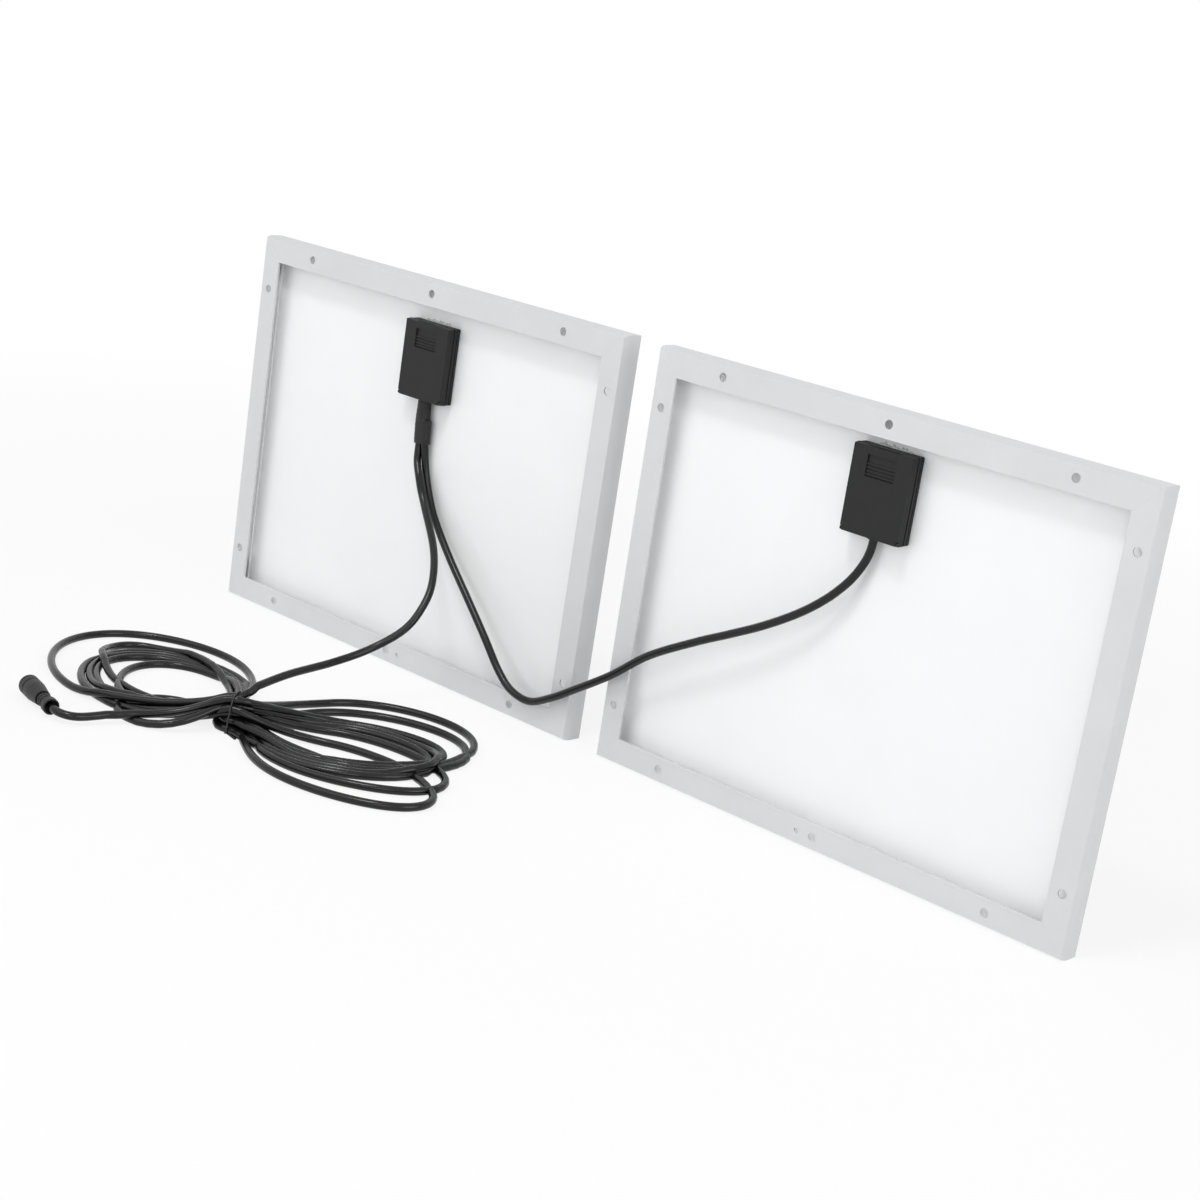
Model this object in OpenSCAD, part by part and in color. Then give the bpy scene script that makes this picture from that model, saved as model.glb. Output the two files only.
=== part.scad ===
// Twin solar panel set, two framed panels side by side, joined by a jumper lead.
// A long lead leaves the left panel through a splice sleeve, is wound into a tied hank on the
// floor and ends in a plug with a screw ring.
// Millimetres. +Z is up, +X is to the right seen from behind, the glass faces +Y, the floor is Z = 0.

/* [Panels] */
// Width of one panel over its frame
panel_w = 350; // [340:1:362]
// Height of one panel over its frame
panel_h = 270; // [262:1:282]
// Depth of the frame from its back lip to its front lip
panel_d = 17; // [16.6:0.1:19]
// Space between the two panels
panel_gap = 28; // [24:1:34]

/* [Frame rails] */
// Width of the back lip
lip_w = 17; // [15:0.5:19]
// Thickness of the back lip
lip_t = 1.4; // [1:0.1:2]
// Distance from the outer plane to the inner face of the side wall
wall_t = 2.2; // [1.9:0.1:2.8]
// Width of the shelf that carries the laminate
shelf_w = 9; // [8:0.5:11]
// Thickness of the shelf
shelf_t = 1.2; // [1:0.1:1.6]
// Width of the front lip
front_lip_w = 7; // [6:0.5:8]
// Thickness of the front lip
front_lip_t = 1; // [0.8:0.1:1.4]
// How far the back edge of a rail stands in from its outer plane
back_inset = 1.2; // [0.6:0.1:1.4]
// Depth over which the outer face bulges out from the back edge
bulge_d = 6; // [5:0.5:7]
// Radius of the front corner
front_r = 3; // [2:0.5:3.5]
// Length of each arm of a corner key
key_len = 24; // [18:1:26]
// Width of each arm of a corner key
key_w = 6; // [5:0.5:7]
// Height of a corner key in the rail channel
key_h = 8; // [6:0.5:8.5]

/* [Mounting holes] */
// Diameter of the mounting holes in the back lip
hole_d = 5.5; // [4.5:0.1:6]
// Distance of the mounting holes from the outer edge
hole_edge = 8.5; // [8:0.1:9.5]
// Pitch of the holes along the top and bottom rails
hole_pitch = 122.5; // [100:0.5:125]
// Distance of the side holes from the top and bottom edges
side_hole_end = 37.5; // [34:0.5:45]
// Diameter of the earth hole in the bottom rail
earth_d = 3.2; // [2.5:0.1:4]
// Distance of the earth hole from the middle hole
earth_offset = 12; // [10:0.5:16]

/* [Laminate] */
// Thickness of the front glass
glass_t = 3.2; // [2.8:0.1:3.3]
// Thickness of the encapsulant
encapsulant_t = 0.8; // [0.7:0.1:0.9]
// Thickness of the white backsheet
backsheet_t = 0.3; // [0.2:0.1:0.4]
// Thickness of one cell
cell_t = 0.2; // [0.1:0.1:0.3]
// Thickness of the ribbons
ribbon_t = 0.1; // [0.1:0.05:0.2]
// Width of the ribbons along the rows
ribbon_w = 1.2; // [0.8:0.1:2]
// Width of the ribbons that join two rows
cross_ribbon_w = 3; // [2:0.5:3.5]
// Cells along each row
cells_across = 12; // [8:2:14]
// Rows of cells
cell_rows = 3; // [2:1:4]
// Space between cells along a row
cell_gap_x = 1.5; // [1:0.1:2.5]
// Space between rows of cells
cell_gap_z = 2; // [1.5:0.1:3]
// Space between the cells and the front lip at the sides
cell_margin_x = 6.75; // [6:0.25:10]
// Space between the cells and the front lip at top and bottom
cell_margin_z = 5; // [4:0.5:10]
// Width of the sealant around the laminate
edge_seal_w = 1; // [0.8:0.1:1.4]

/* [Junction boxes] */
// Width of a junction box
box_w = 42; // [40:0.5:46]
// Height of a junction box
box_h = 52.5; // [50:0.5:53]
// Distance of the left box's top from the panel's top edge
left_box_drop = 28.5; // [26:0.5:32]
// Distance of the right box's top from the panel's top edge
right_box_drop = 23; // [22:0.5:28]
// Depth of the lid
lid_d = 5; // [4.8:0.1:5.2]
// Thickness of the lid's face
lid_plate_t = 1.5; // [1.3:0.1:1.8]
// Thickness of the lid's skirt
lid_wall = 2.2; // [2:0.1:2.5]
// Slope of the lid's sides, from face to seam
lid_bevel = 0.5; // [0.4:0.1:1]
// Thickness of the base's walls
base_wall = 2.6; // [2.4:0.1:3]
// Thickness of the base's floor
base_floor = 1.3; // [1:0.1:1.4]
// Corner radius of the base
base_r = 1; // [0.5:0.1:1.5]
// Thickness of the adhesive under a box
adhesive_t = 0.8; // [0.6:0.1:1]
// Width of the lid seal
seal_w = 1; // [0.8:0.1:1.1]
// Height of the lid seal
seal_h = 1; // [0.8:0.1:1.4]
// Width of the thumb recess in the lid
recess_w = 20; // [16:1:22]
// Height of the thumb recess
recess_h = 13; // [12:0.5:14]
// Depth of the thumb recess
recess_d = 1.2; // [0.8:0.1:1.3]
// Distance of the thumb recess from the lid's top edge
recess_top = 5; // [4.6:0.1:6]
// Width of the latch tab at the top of the lid
latch_w = 22; // [16:1:24]

/* [Leads] */
// Diameter of the leads
lead_d = 5.2; // [4.8:0.1:5.4]
// Outside diameter of the sleeve's upper part
sleeve_d = 9.2; // [8.6:0.1:9.4]
// Length of the sleeve's upper part
sleeve_top_len = 13; // [12:0.5:15]
// Length of the sleeve's lower part
sleeve_low_len = 16.5; // [15:0.5:19]
// Space between the centres of the two leads in the sleeve
lead_pitch = 5.6; // [5.5:0.1:6]
// Lean of the sleeve to the right
sleeve_lean = 5; // [3:0.5:7]

/* [Hank and plug] */
// Height of the wound turns of the hank
hank_h = 12; // [10:1:16]
// Radius of the hank where it is tied
hank_waist_r = 11; // [9:0.5:12]
// Thickness of the tie
tie_t = 0.9; // [0.6:0.1:1.2]
// Width of the tie
tie_w = 2.2; // [1.8:0.1:3]
// Outer diameter of the coupling nut
nut_d = 13.2; // [13:0.1:14.4]
// Length of the coupling nut
nut_len = 27; // [26.5:0.1:28.5]
// Length of the plug body behind the coupling nut
neck_len = 15; // [14:0.5:16]

/* [Hidden] */
$fn = 64;
eps = 1;
clear = 0.3;
run_fit = 0.05;

// Depths are counted from the plane of the frame's back, towards the glass.
back_y = -panel_d / 2;
slot_front_q = panel_d - front_lip_t;
glass_q = slot_front_q - glass_t;
encapsulant_q = glass_q - encapsulant_t;
backsheet_q = encapsulant_q - backsheet_t;
ribbon_q = glass_q - ribbon_t;
cell_q = ribbon_q - cell_t;
shelf_q = backsheet_q - shelf_t;
bulge_r = (bulge_d * bulge_d + back_inset * back_inset) / (2 * back_inset);

panel_x = panel_gap / 2 + panel_w / 2;
laminate_inset = wall_t + edge_seal_w;
laminate_w = panel_w - 2 * laminate_inset;
laminate_h = panel_h - 2 * laminate_inset;
cells_w = panel_w - 2 * front_lip_w - 2 * cell_margin_x;
cells_h = panel_h - 2 * front_lip_w - 2 * cell_margin_z;
cell_w = (cells_w - (cells_across - 1) * cell_gap_x) / cells_across;
cell_h = (cells_h - (cell_rows - 1) * cell_gap_z) / cell_rows;
cells_z = panel_h / 2 - cells_h / 2;
ribbon_spread = 40;
cross_ribbon_x = cells_w / 2 + 1;

// Heights of the boxes' bottoms above the floor.
left_box_z = panel_h - left_box_drop - box_h;
right_box_z = panel_h - right_box_drop - box_h;

// Junction box, counted from the middle of its bottom edge.
seam_q = lid_d + clear;
seam_step = 0.5;
seam_step_w = 0.7;
band_q = seam_q + 2.9;
band_w = 0.6;
base_q = backsheet_q - adhesive_t;
floor_q = base_q - base_floor;
pin_r = 0.6;
ear_r = 1.2;
ear_t = 1.5;
ear_x = box_w / 2 - lid_bevel;
latch_t = 1.5;
latch_q = 2;
cable_q = 6.8;
lead_r = lead_d / 2;
lead_in = 10;
grommet_r = lead_r + 0.7;
grommet_flange_r = lead_r + 1.4;
grommet_flange_t = 1.2;
grommet_notch = 0.6;
hinge_block_w = 3;
hinge_block_h = 5;
ridge_count = 4;
ridge_pitch = 2.1;
ridge_w = 1.5;
recess_boss = 1.4;
adhesive_inset = 1;
bead_r = 0.9;
bead_len = 26;
terminal_x = 9;
terminal_w = 7;
terminal_z = 22;
terminal_h = 10;
terminal_q = 6;
terminal_screw_z = terminal_z + 7;
terminal_screw_r = 1.4;
screw_head_r = 2;
screw_head_h = 1;
screw_reach = 2.5;
wire_r = 0.85;
wire_q = 7.8;
wire_spread = 1.3;
wire_depth = 3;
diode_r = 1.6;
diode_len = 6;
diode_z = terminal_z + 5;
diode_lead_r = 0.4;
tab_w = 4;
tab_t = 0.2;
tab_q = 8.8;
tab_z = 41;

// Leads and sleeve.
cable_y = back_y + cable_q;
sleeve_low_r = 3.75;
sleeve_start = grommet_flange_t;
sleeve_cone = 3;
stub_depth = sleeve_start + sleeve_top_len;
sleeve_end = stub_depth + sleeve_low_len;
lead_sides = 12;

// Hank, tie and plug positions on the floor.
hank_x = -123;
hank_y = -197;
hank_angle = 27;
waist_z = hank_waist_r + tie_t + 0.3;
waist_len = 50;
lobe_start = 18;
lobe_start_r = 10;
plug_x = -186.6;
plug_y = -287.2;
plug_angle = 164.6;
plug_z = nut_d / 2 + 0.1;
nut_start = neck_len + 0.5;
nut_end = nut_start + nut_len;
neck_r = 4;
collar_r = 5.2;
collar_len = 5;
collar_hollow_r = 4.1;
collar_hollow = 4;
cable_depth = 13;
flange_start = 20;
flange_len = 1.8;
flange_r = 4.7;
barrel_r = 3.9;
barrel_end = 36;
insert_start = 25;
insert_r = 3.1;
insert_end = 35;
nut_back_bore_r = 4.95;
nut_bore_r = 5.4;
nut_bore_start = 28;
nut_lip_len = flange_start - clear - nut_start;
nut_groove = 8;
flute_count = 20;
flute_r = 0.8;
flute_d = 0.3;
o_ring_z = 22.6;
o_ring_w = 1.8;
o_ring_depth = 0.7;
o_ring_r = 4.3;
contact_r = 0.6;
contact_spread = 1.6;

// Panel frame: the origin is the middle of the panel's bottom edge, on the plane of its back.
module left_panel() {
  translate([-panel_x, back_y, 0]) children();
}

module right_panel() {
  translate([panel_x, back_y, 0]) children();
}

// Turns a piece of the bottom or left edge round to the top or right edge.
module opposite_edge() {
  translate([0, 0, panel_h]) rotate([0, 180, 0]) children();
}

// Block between two depths, cut from an outline in the plane of the panel.
module slab(from_q, to_q) {
  translate([0, to_q, 0]) rotate([90, 0, 0]) linear_extrude(to_q - from_q) children();
}

// Section of a rail: first axis inward from the outer plane, second axis depth from the back.
module rail_section() {
  difference() {
    union() {
      square([lip_w, lip_t]);
      square([wall_t, panel_d]);
      translate([0, shelf_q]) square([shelf_w, shelf_t]);
      translate([0, slot_front_q]) square([front_lip_w, front_lip_t]);
    }
    difference() {
      translate([-eps, -eps]) square([eps + back_inset, eps + bulge_d]);
      translate([bulge_r, bulge_d]) circle(r = bulge_r, $fn = 96);
    }
    difference() {
      translate([-eps, panel_d - front_r]) square([eps + front_r, front_r + eps]);
      translate([front_r, panel_d - front_r]) circle(r = front_r);
    }
  }
}

// Rail along Z at the left edge, with both ends cut to the mitre.
module upright_rail(length) {
  intersection() {
    linear_extrude(length) rail_section();
    slab(-eps, panel_d + eps) polygon([[0, 0], [lip_w, lip_w], [lip_w, length - lip_w], [0, length]]);
  }
}

module lip_hole(along, diameter) {
  translate([hole_edge, -eps, along]) rotate([-90, 0, 0]) cylinder(d = diameter, h = lip_t + 2 * eps);
}

module side_rail() {
  color("silver") translate([-panel_w / 2, 0, 0]) difference() {
    upright_rail(panel_h);
    lip_hole(side_hole_end, hole_d);
    lip_hole(panel_h - side_hole_end, hole_d);
  }
}

// Rail along the bottom edge; earth_side is -1 or 1 for the hole beside the middle one, 0 for none.
module long_rail(earth_side) {
  color("silver") translate([panel_w / 2, 0, 0]) rotate([0, -90, 0]) difference() {
    upright_rail(panel_w);
    for (place = [-1, 0, 1]) {
      lip_hole(panel_w / 2 + place * hole_pitch, hole_d);
    }
    if (earth_side != 0) {
      lip_hole(panel_w / 2 - earth_side * earth_offset, earth_d);
    }
  }
}

module corner_key() {
  far = wall_t + key_len;
  near = wall_t + key_w;
  slab(lip_t, lip_t + key_h)
    polygon([[wall_t, wall_t], [far, wall_t], [far, near], [near, near], [near, far], [wall_t, far]]);
}

module corner_keys() {
  color("gray") for (flip = [0, 1]) {
    mirror([flip, 0, 0]) translate([-panel_w / 2, 0, 0]) {
      corner_key();
      translate([0, 0, panel_h]) mirror([0, 0, 1]) corner_key();
    }
  }
}

module sheet(from_q, to_q) {
  translate([-laminate_w / 2, from_q, laminate_inset]) cube([laminate_w, to_q - from_q, laminate_h]);
}

module cell_blocks() {
  for (column = [0 : cells_across - 1]) {
    for (row = [0 : cell_rows - 1]) {
      translate([-cells_w / 2 + column * (cell_w + cell_gap_x), cell_q,
        cells_z + row * (cell_h + cell_gap_z)]) cube([cell_w, cell_t, cell_h]);
    }
  }
}

// Ribbons run along each row on the cells' fronts; a wider one joins two rows at alternate ends.
module ribbon_blocks() {
  for (row = [0 : cell_rows - 1]) {
    row_z = cells_z + row * (cell_h + cell_gap_z) + cell_h / 2;
    for (place = [-0.5, 0.5]) {
      translate([-cross_ribbon_x, ribbon_q, row_z + place * ribbon_spread - ribbon_w / 2])
        cube([2 * cross_ribbon_x, ribbon_t, ribbon_w]);
    }
    if (row < cell_rows - 1) {
      end_side = row % 2 == 0 ? 1 : -1;
      translate([end_side * (cross_ribbon_x + cross_ribbon_w / 2) - cross_ribbon_w / 2, ribbon_q,
        row_z - ribbon_spread / 2]) cube([cross_ribbon_w, ribbon_t, cell_h + cell_gap_z]);
    }
  }
}

module tab_hole(side, margin) {
  translate([side * terminal_x - tab_w / 2 - margin, 0, tab_z - tab_t - margin])
    cube([tab_w + 2 * margin, panel_d, tab_t + 2 * margin]);
}

module tab_holes(margin, to_q) {
  intersection() {
    for (side = [-1, 1]) {
      tab_hole(side, margin);
    }
    translate([-panel_w / 2, -eps, 0]) cube([panel_w, to_q + eps, panel_h]);
  }
}

module glass() {
  color("lightblue") sheet(glass_q, slot_front_q);
}

module encapsulant(box_z) {
  color("ivory") difference() {
    sheet(encapsulant_q, glass_q);
    cell_blocks();
    ribbon_blocks();
    translate([0, 0, box_z]) tab_holes(clear, cell_q);
  }
}

module cells() {
  color("midnightblue") cell_blocks();
}

module ribbons() {
  color("lightgray") ribbon_blocks();
}

module backsheet(box_z) {
  color("white") difference() {
    sheet(backsheet_q, encapsulant_q);
    translate([0, 0, box_z]) tab_holes(clear, panel_d);
  }
}

module edge_seal() {
  color("white") difference() {
    translate([-panel_w / 2 + wall_t, backsheet_q, wall_t])
      cube([panel_w - 2 * wall_t, slot_front_q - backsheet_q, panel_h - 2 * wall_t]);
    sheet(backsheet_q - eps, slot_front_q + eps);
  }
}

module round_rectangle(width, height, radius) {
  translate([-width / 2, radius]) square([width, height - 2 * radius]);
  translate([-width / 2 + radius, 0]) square([width - 2 * radius, height]);
  for (side = [-1, 1]) {
    for (place = [radius, height - radius]) {
      translate([side * (width / 2 - radius), place]) circle(r = radius, $fn = 32);
    }
  }
}

module centred_rectangle(width, from_z, to_z) {
  translate([-width / 2, from_z]) square([width, to_z - from_z]);
}

// Rod along X between two points at the hinge line.
module hinge_rod(from_x, to_x, radius) {
  translate([from_x, ear_r, ear_r]) rotate([0, 90, 0]) cylinder(r = radius, h = to_x - from_x, $fn = 32);
}

module hinge_ear() {
  inner_x = box_w / 2 - ear_t;
  difference() {
    union() {
      hinge_rod(inner_x, ear_x, ear_r);
      translate([inner_x, ear_r, 0]) cube([ear_x - inner_x, seam_q + seal_h - ear_r, 2 * ear_r]);
    }
    hinge_rod(inner_x - eps, ear_x + eps, pin_r + run_fit);
  }
}

module seal_ring() {
  outer = base_wall - seal_w;
  difference() {
    slab(seam_q, seam_q + seal_h) centred_rectangle(box_w - 2 * outer, outer, box_h - outer);
    slab(0, panel_d) centred_rectangle(box_w - 2 * base_wall, base_wall, box_h - base_wall);
    cable_bore(grommet_r);
  }
}

module cable_bore(radius) {
  translate([0, cable_q, -eps]) cylinder(r = radius, h = base_wall + 2 * eps);
}

module base_outline(inset) {
  translate([0, inset]) round_rectangle(box_w - 2 * inset, box_h - 2 * inset, base_r);
}

// The base steps in along the seam and in one line round its side.
module base_body() {
  slab(seam_q, base_q) base_outline(seam_step);
  slab(seam_q + seam_step_w, band_q) base_outline(0);
  slab(band_q + band_w, base_q) base_outline(0);
}

module box_base() {
  color("dimgray") difference() {
    union() {
      difference() {
        base_body();
        slab(0, floor_q) centred_rectangle(box_w - 2 * base_wall, base_wall, box_h - base_wall);
      }
      hinge_ear();
      mirror([1, 0, 0]) hinge_ear();
      slab(latch_q, seam_q + seal_h) centred_rectangle(latch_w, box_h - latch_t, box_h);
    }
    seal_ring();
    cable_bore(grommet_r);
    tab_holes(clear, panel_d);
  }
}

module lid_body() {
  half = box_w / 2;
  intersection() {
    linear_extrude(box_h)
      polygon([[lid_bevel - half, 0], [half - lid_bevel, 0], [half, lid_d], [-half, lid_d]]);
    translate([-half, 0, 0]) rotate([90, 0, 90]) linear_extrude(box_w)
      polygon([[0, 0], [0, box_h - lid_bevel], [lid_d, box_h], [lid_d, 0]]);
  }
}

module recess_outline(margin) {
  top = box_h - recess_top;
  centred_rectangle(recess_w + 2 * margin, top - recess_h - margin, top + margin);
}

module thumb_ridges() {
  low = box_h - recess_top - recess_h;
  for (place = [0.5 : 1 : ridge_count]) {
    translate([0, recess_d, low + place * ridge_pitch]) rotate([0, 90, 0])
      cylinder(d = ridge_w, h = recess_w, center = true, $fn = 24);
  }
}

module box_lid() {
  block_x = box_w / 2 - ear_t - clear;
  color("black") {
    difference() {
      union() {
        difference() {
          lid_body();
          slab(lid_plate_t, panel_d) centred_rectangle(box_w - 2 * lid_wall, lid_wall, box_h - lid_wall);
        }
        slab(lid_plate_t / 2, lid_plate_t + recess_boss) recess_outline(1);
        for (side = [-1, 1]) {
          translate([side * (block_x - hinge_block_w / 2) - hinge_block_w / 2, lid_plate_t / 2, 0])
            cube([hinge_block_w, lid_d - lid_plate_t / 2, hinge_block_h]);
        }
      }
      slab(-eps, recess_d) recess_outline(0);
      for (side = [-1, 1]) {
        translate([side * (block_x + box_w / 2) - box_w / 2, -eps, -eps])
          cube([box_w, panel_d, eps + 2 * ear_r + clear]);
      }
      slab(latch_q - clear, panel_d)
        centred_rectangle(latch_w + 2 * clear, box_h - latch_t - clear, box_h + eps);
      cable_bore(grommet_r + grommet_notch);
    }
    hinge_rod(block_x - eps, ear_x - run_fit, pin_r);
    hinge_rod(run_fit - ear_x, eps - block_x, pin_r);
    thumb_ridges();
  }
}

module box_seal() {
  color("red") seal_ring();
}

module box_adhesive() {
  color("white") difference() {
    union() {
      slab(base_q, backsheet_q) {
        centred_rectangle(box_w - 2 * adhesive_inset, adhesive_inset, box_h - adhesive_inset);
        centred_rectangle(bead_len, box_h / 2, box_h + 2 * bead_r);
      }
      intersection() {
        translate([0, backsheet_q, box_h + bead_r]) rotate([0, 90, 0])
          cylinder(r = bead_r, h = bead_len, center = true);
        slab(0, backsheet_q) centred_rectangle(box_w, 0, box_h + panel_d);
      }
    }
    tab_holes(clear, panel_d);
  }
}

module box_terminals() {
  color("gold") for (side = [-1, 1]) {
    difference() {
      translate([side * terminal_x - terminal_w / 2, terminal_q, terminal_z])
        cube([terminal_w, floor_q - terminal_q, terminal_h]);
      translate([side * terminal_x, terminal_q - eps, terminal_screw_z]) rotate([-90, 0, 0])
        cylinder(r = terminal_screw_r + run_fit, h = screw_reach + eps + clear, $fn = 32);
      translate([side * terminal_x, wire_q, terminal_z - eps])
        cylinder(r = wire_r + run_fit, h = wire_depth + eps + clear, $fn = 32);
    }
  }
}

module box_screws() {
  slot_w = 0.6;
  slot_d = 0.5;
  color("lightgray") for (side = [-1, 1]) {
    translate([side * terminal_x, terminal_q, terminal_screw_z]) difference() {
      union() {
        rotate([90, 0, 0]) cylinder(r = screw_head_r, h = screw_head_h, $fn = 32);
        rotate([-90, 0, 0]) cylinder(r = terminal_screw_r, h = screw_reach, $fn = 32);
      }
      translate([-slot_w / 2, -screw_head_h - eps, -screw_head_r - eps])
        cube([slot_w, slot_d + eps, 2 * (screw_head_r + eps)]);
    }
  }
}

module box_wires() {
  color("red") for (side = [-1, 1]) {
    tube([[side * wire_spread, cable_q, lead_in], [side * wire_spread, cable_q, lead_in + 3],
      [side * terminal_x, wire_q, terminal_z - 2], [side * terminal_x, wire_q, terminal_z + wire_depth]],
      [0, 1, 0], wire_r);
  }
}

module box_diode() {
  reach = terminal_x - terminal_w / 2;
  color("black") translate([0, wire_q, diode_z]) rotate([0, 90, 0]) {
    cylinder(r = diode_r, h = diode_len, center = true, $fn = 32);
    cylinder(r = diode_lead_r, h = 2 * reach, center = true, $fn = 24);
  }
}

module box_tabs() {
  color("lightgray") for (side = [-1, 1]) {
    translate([side * terminal_x - tab_w / 2, tab_q, terminal_z + terminal_h])
      cube([tab_w, tab_t, tab_z - terminal_z - terminal_h]);
    translate([side * terminal_x - tab_w / 2, tab_q, tab_z - tab_t])
      cube([tab_w, cell_q - tab_q, tab_t]);
  }
}

module box_grommet() {
  color("black") translate([0, cable_q, 0]) difference() {
    union() {
      cylinder(r = grommet_r, h = base_wall);
      translate([0, 0, -grommet_flange_t]) cylinder(r = grommet_flange_r, h = grommet_flange_t);
    }
    translate([0, 0, -grommet_flange_t - eps]) cylinder(r = lead_r, h = base_wall + panel_d);
  }
}

// Points of a smooth curve through the given ones, each stretch cut into the given number of steps.
function curve_point(a, b, c, d, t) =
  0.5 * (2 * b + (c - a) * t + (2 * a - 5 * b + 4 * c - d) * t * t + (3 * b - a - 3 * c + d) * t * t * t);

function curve(points, steps) = [
  for (i = [0 : len(points) - 2])
    for (j = [0 : steps - 1])
      curve_point(points[max(i - 1, 0)], points[i], points[i + 1],
        points[min(i + 2, len(points) - 1)], j / steps),
  points[len(points) - 1]
];

function unit(v) = v / norm(v);

function heading(points, i) = unit(points[min(i + 1, len(points) - 1)] - points[max(i - 1, 0)]);

function ring(centre, along, guide, radius) =
  let (side = unit(cross(along, guide)), other = cross(along, side))
  [for (j = [0 : lead_sides - 1])
    centre + radius * (cos(360 * j / lead_sides) * side + sin(360 * j / lead_sides) * other)];

// Round tube along a curve; guide is a direction that the curve never follows.
module tube(points, guide, radius) {
  last = len(points) - 1;
  corners = [for (i = [0 : last]) each ring(points[i], heading(points, i), guide, radius)];
  sides = [for (i = [0 : last - 1])
    for (j = [0 : lead_sides - 1])
      let (k = (j + 1) % lead_sides, low = i * lead_sides, high = low + lead_sides)
      each [[low + j, high + j, high + k], [low + j, high + k, low + k]]];
  start_cap = [for (j = [0 : lead_sides - 1]) j];
  end_cap = [for (j = [lead_sides - 1 : -1 : 0]) last * lead_sides + j];
  polyhedron(points = corners, faces = concat(sides, [start_cap, end_cap]));
}

// Point below the left box, given along the leaning sleeve: across it and down it.
function sleeve_point(across, down) = [
  -panel_x + across * cos(sleeve_lean) + down * sin(sleeve_lean),
  cable_y,
  left_box_z + across * sin(sleeve_lean) - down * cos(sleeve_lean)
];

// Points given from the middle of a box's bottom edge, and points given from the left panel's middle.
function under_left_box(points) = [for (p = points) [p[0] - panel_x, p[1], p[2] + left_box_z]];

function under_right_box(points) = [for (p = points) [p[0] + panel_x, p[1], p[2] + right_box_z]];

function behind_left_panel(points) = [for (p = points) [p[0] - panel_x, p[1], p[2]]];

stub_route = [[-panel_x, cable_y, left_box_z + lead_in], [-panel_x, cable_y, left_box_z + 5],
  [-panel_x, cable_y, left_box_z], sleeve_point(0, 5), sleeve_point(0, stub_depth)];

// The jumper hangs from the sleeve, passes behind the two inner rails and climbs to the right box.
jumper_route = concat(
  [sleeve_point(lead_pitch / 2, stub_depth), sleeve_point(lead_pitch / 2, sleeve_end - 6),
    sleeve_point(lead_pitch / 2, sleeve_end + 1)],
  under_left_box([[9, -0.4, -50.4], [18.2, -0.6, -70.8], [28.5, -1.4, -84.4], [47.1, -3.6, -102.6]]),
  behind_left_panel([[69.4, -6.5, 67.5], [92.8, -9.5, 47.2], [111.5, -11.5, 29.6]]),
  [[-62.8, -12.5, 20.4], [-45.1, -13, 18.4], [-26.9, -13.5, 26.6], [-9.9, -13.5, 37.2], [20.1, -13.5, 57.2],
    [48.6, -13.5, 79.6]],
  under_right_box([[-106, -13, -95.2], [-82.3, -12, -83], [-59.2, -11, -70.6], [-37.8, -9, -56.8],
    [-21.8, -7, -43.5], [-10.5, -5, -30.6], [-4.5, -3, -20], [-1, -2, -10]]),
  [[panel_x, cable_y, right_box_z], [panel_x, cable_y, right_box_z + lead_in]]);

// The main lead swings away from the panel and down to the tied middle of the hank.
run_route = concat(
  [sleeve_point(-lead_pitch / 2, stub_depth), sleeve_point(-lead_pitch / 2, sleeve_end - 6),
    sleeve_point(-lead_pitch / 2, sleeve_end + 1)],
  under_left_box([[1, -2.8, -37.5], [3.7, -4.8, -44], [10.2, -7.9, -52], [15.2, -8.9, -61],
    [24.9, -12.5, -71], [51, -26, -91]]),
  behind_left_panel([[67.5, -40, 80], [72.8, -52, 65.5]]),
  [[-117.5, -65, 51.5], [-127, -84, 37.8], [-132, -111, 30.4], [-130, -149, 28], [-124, -182, 25.5],
    [-122, -196, 22]]);

function in_plug(depth) = [plug_x + depth * cos(plug_angle), plug_y + depth * sin(plug_angle), plug_z];

tail_route = [[-128, -202, 19], [-136, -211.5, 17.5], [-143, -224.5, 15.5], [-151, -237, 12],
  [-159, -249, 8], [-164.1, -262.3, 5.6], [-166.5, -269, 5], [-167.3, -273, 4.9], [-169.3, -281, 5.2],
  [-173.8, -286.2, 5.8], [-179.7, -288.2, 6.4],
  in_plug(0), in_plug(cable_depth / 2), in_plug(cable_depth)];

module stub_lead() {
  color("black") tube(stub_route, [0, 1, 0], lead_r);
}

module jumper_lead() {
  color("black") tube(curve(jumper_route, 2), [0, 1, 0], lead_r);
}

module main_lead_run() {
  color("black") tube(curve(run_route, 2), [1, 0, 0], lead_r);
}

module main_lead_tail() {
  color("black") tube(curve(tail_route, 2), [0, 0, 1], lead_r);
}

// Shrink sleeve: a round upper part over the stub and a flat lower part over the two leads.
module splice_sleeve() {
  half = lead_pitch / 2;
  color("black") translate([-panel_x, cable_y, left_box_z]) rotate([0, -sleeve_lean, 0]) difference() {
    union() {
      translate([0, 0, -stub_depth]) cylinder(d = sleeve_d, h = sleeve_top_len - clear);
      translate([0, 0, -stub_depth - sleeve_cone])
        cylinder(r1 = sleeve_low_r + 1.5, r2 = sleeve_d / 2, h = sleeve_cone);
      translate([0, 0, -sleeve_end]) linear_extrude(sleeve_low_len) {
        translate([-half, -sleeve_low_r]) square([lead_pitch, 2 * sleeve_low_r]);
        for (side = [-1, 1]) {
          translate([side * half, 0]) circle(r = sleeve_low_r);
        }
      }
    }
    translate([0, 0, -stub_depth]) cylinder(r = lead_r, h = sleeve_end);
    for (side = [-1, 1]) {
      translate([side * half, 0, -sleeve_end - eps]) cylinder(r = lead_r, h = sleeve_low_len + eps);
    }
  }
}

module on_hank() {
  translate([hank_x, hank_y, 0]) rotate([0, 0, hank_angle]) children();
}

// Outline round circles, each given as [x, y, radius].
module round_outline(circles) {
  hull() {
    for (c = circles) {
      translate([c[0], c[1]]) circle(r = c[2], $fn = 32);
    }
  }
}

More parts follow.
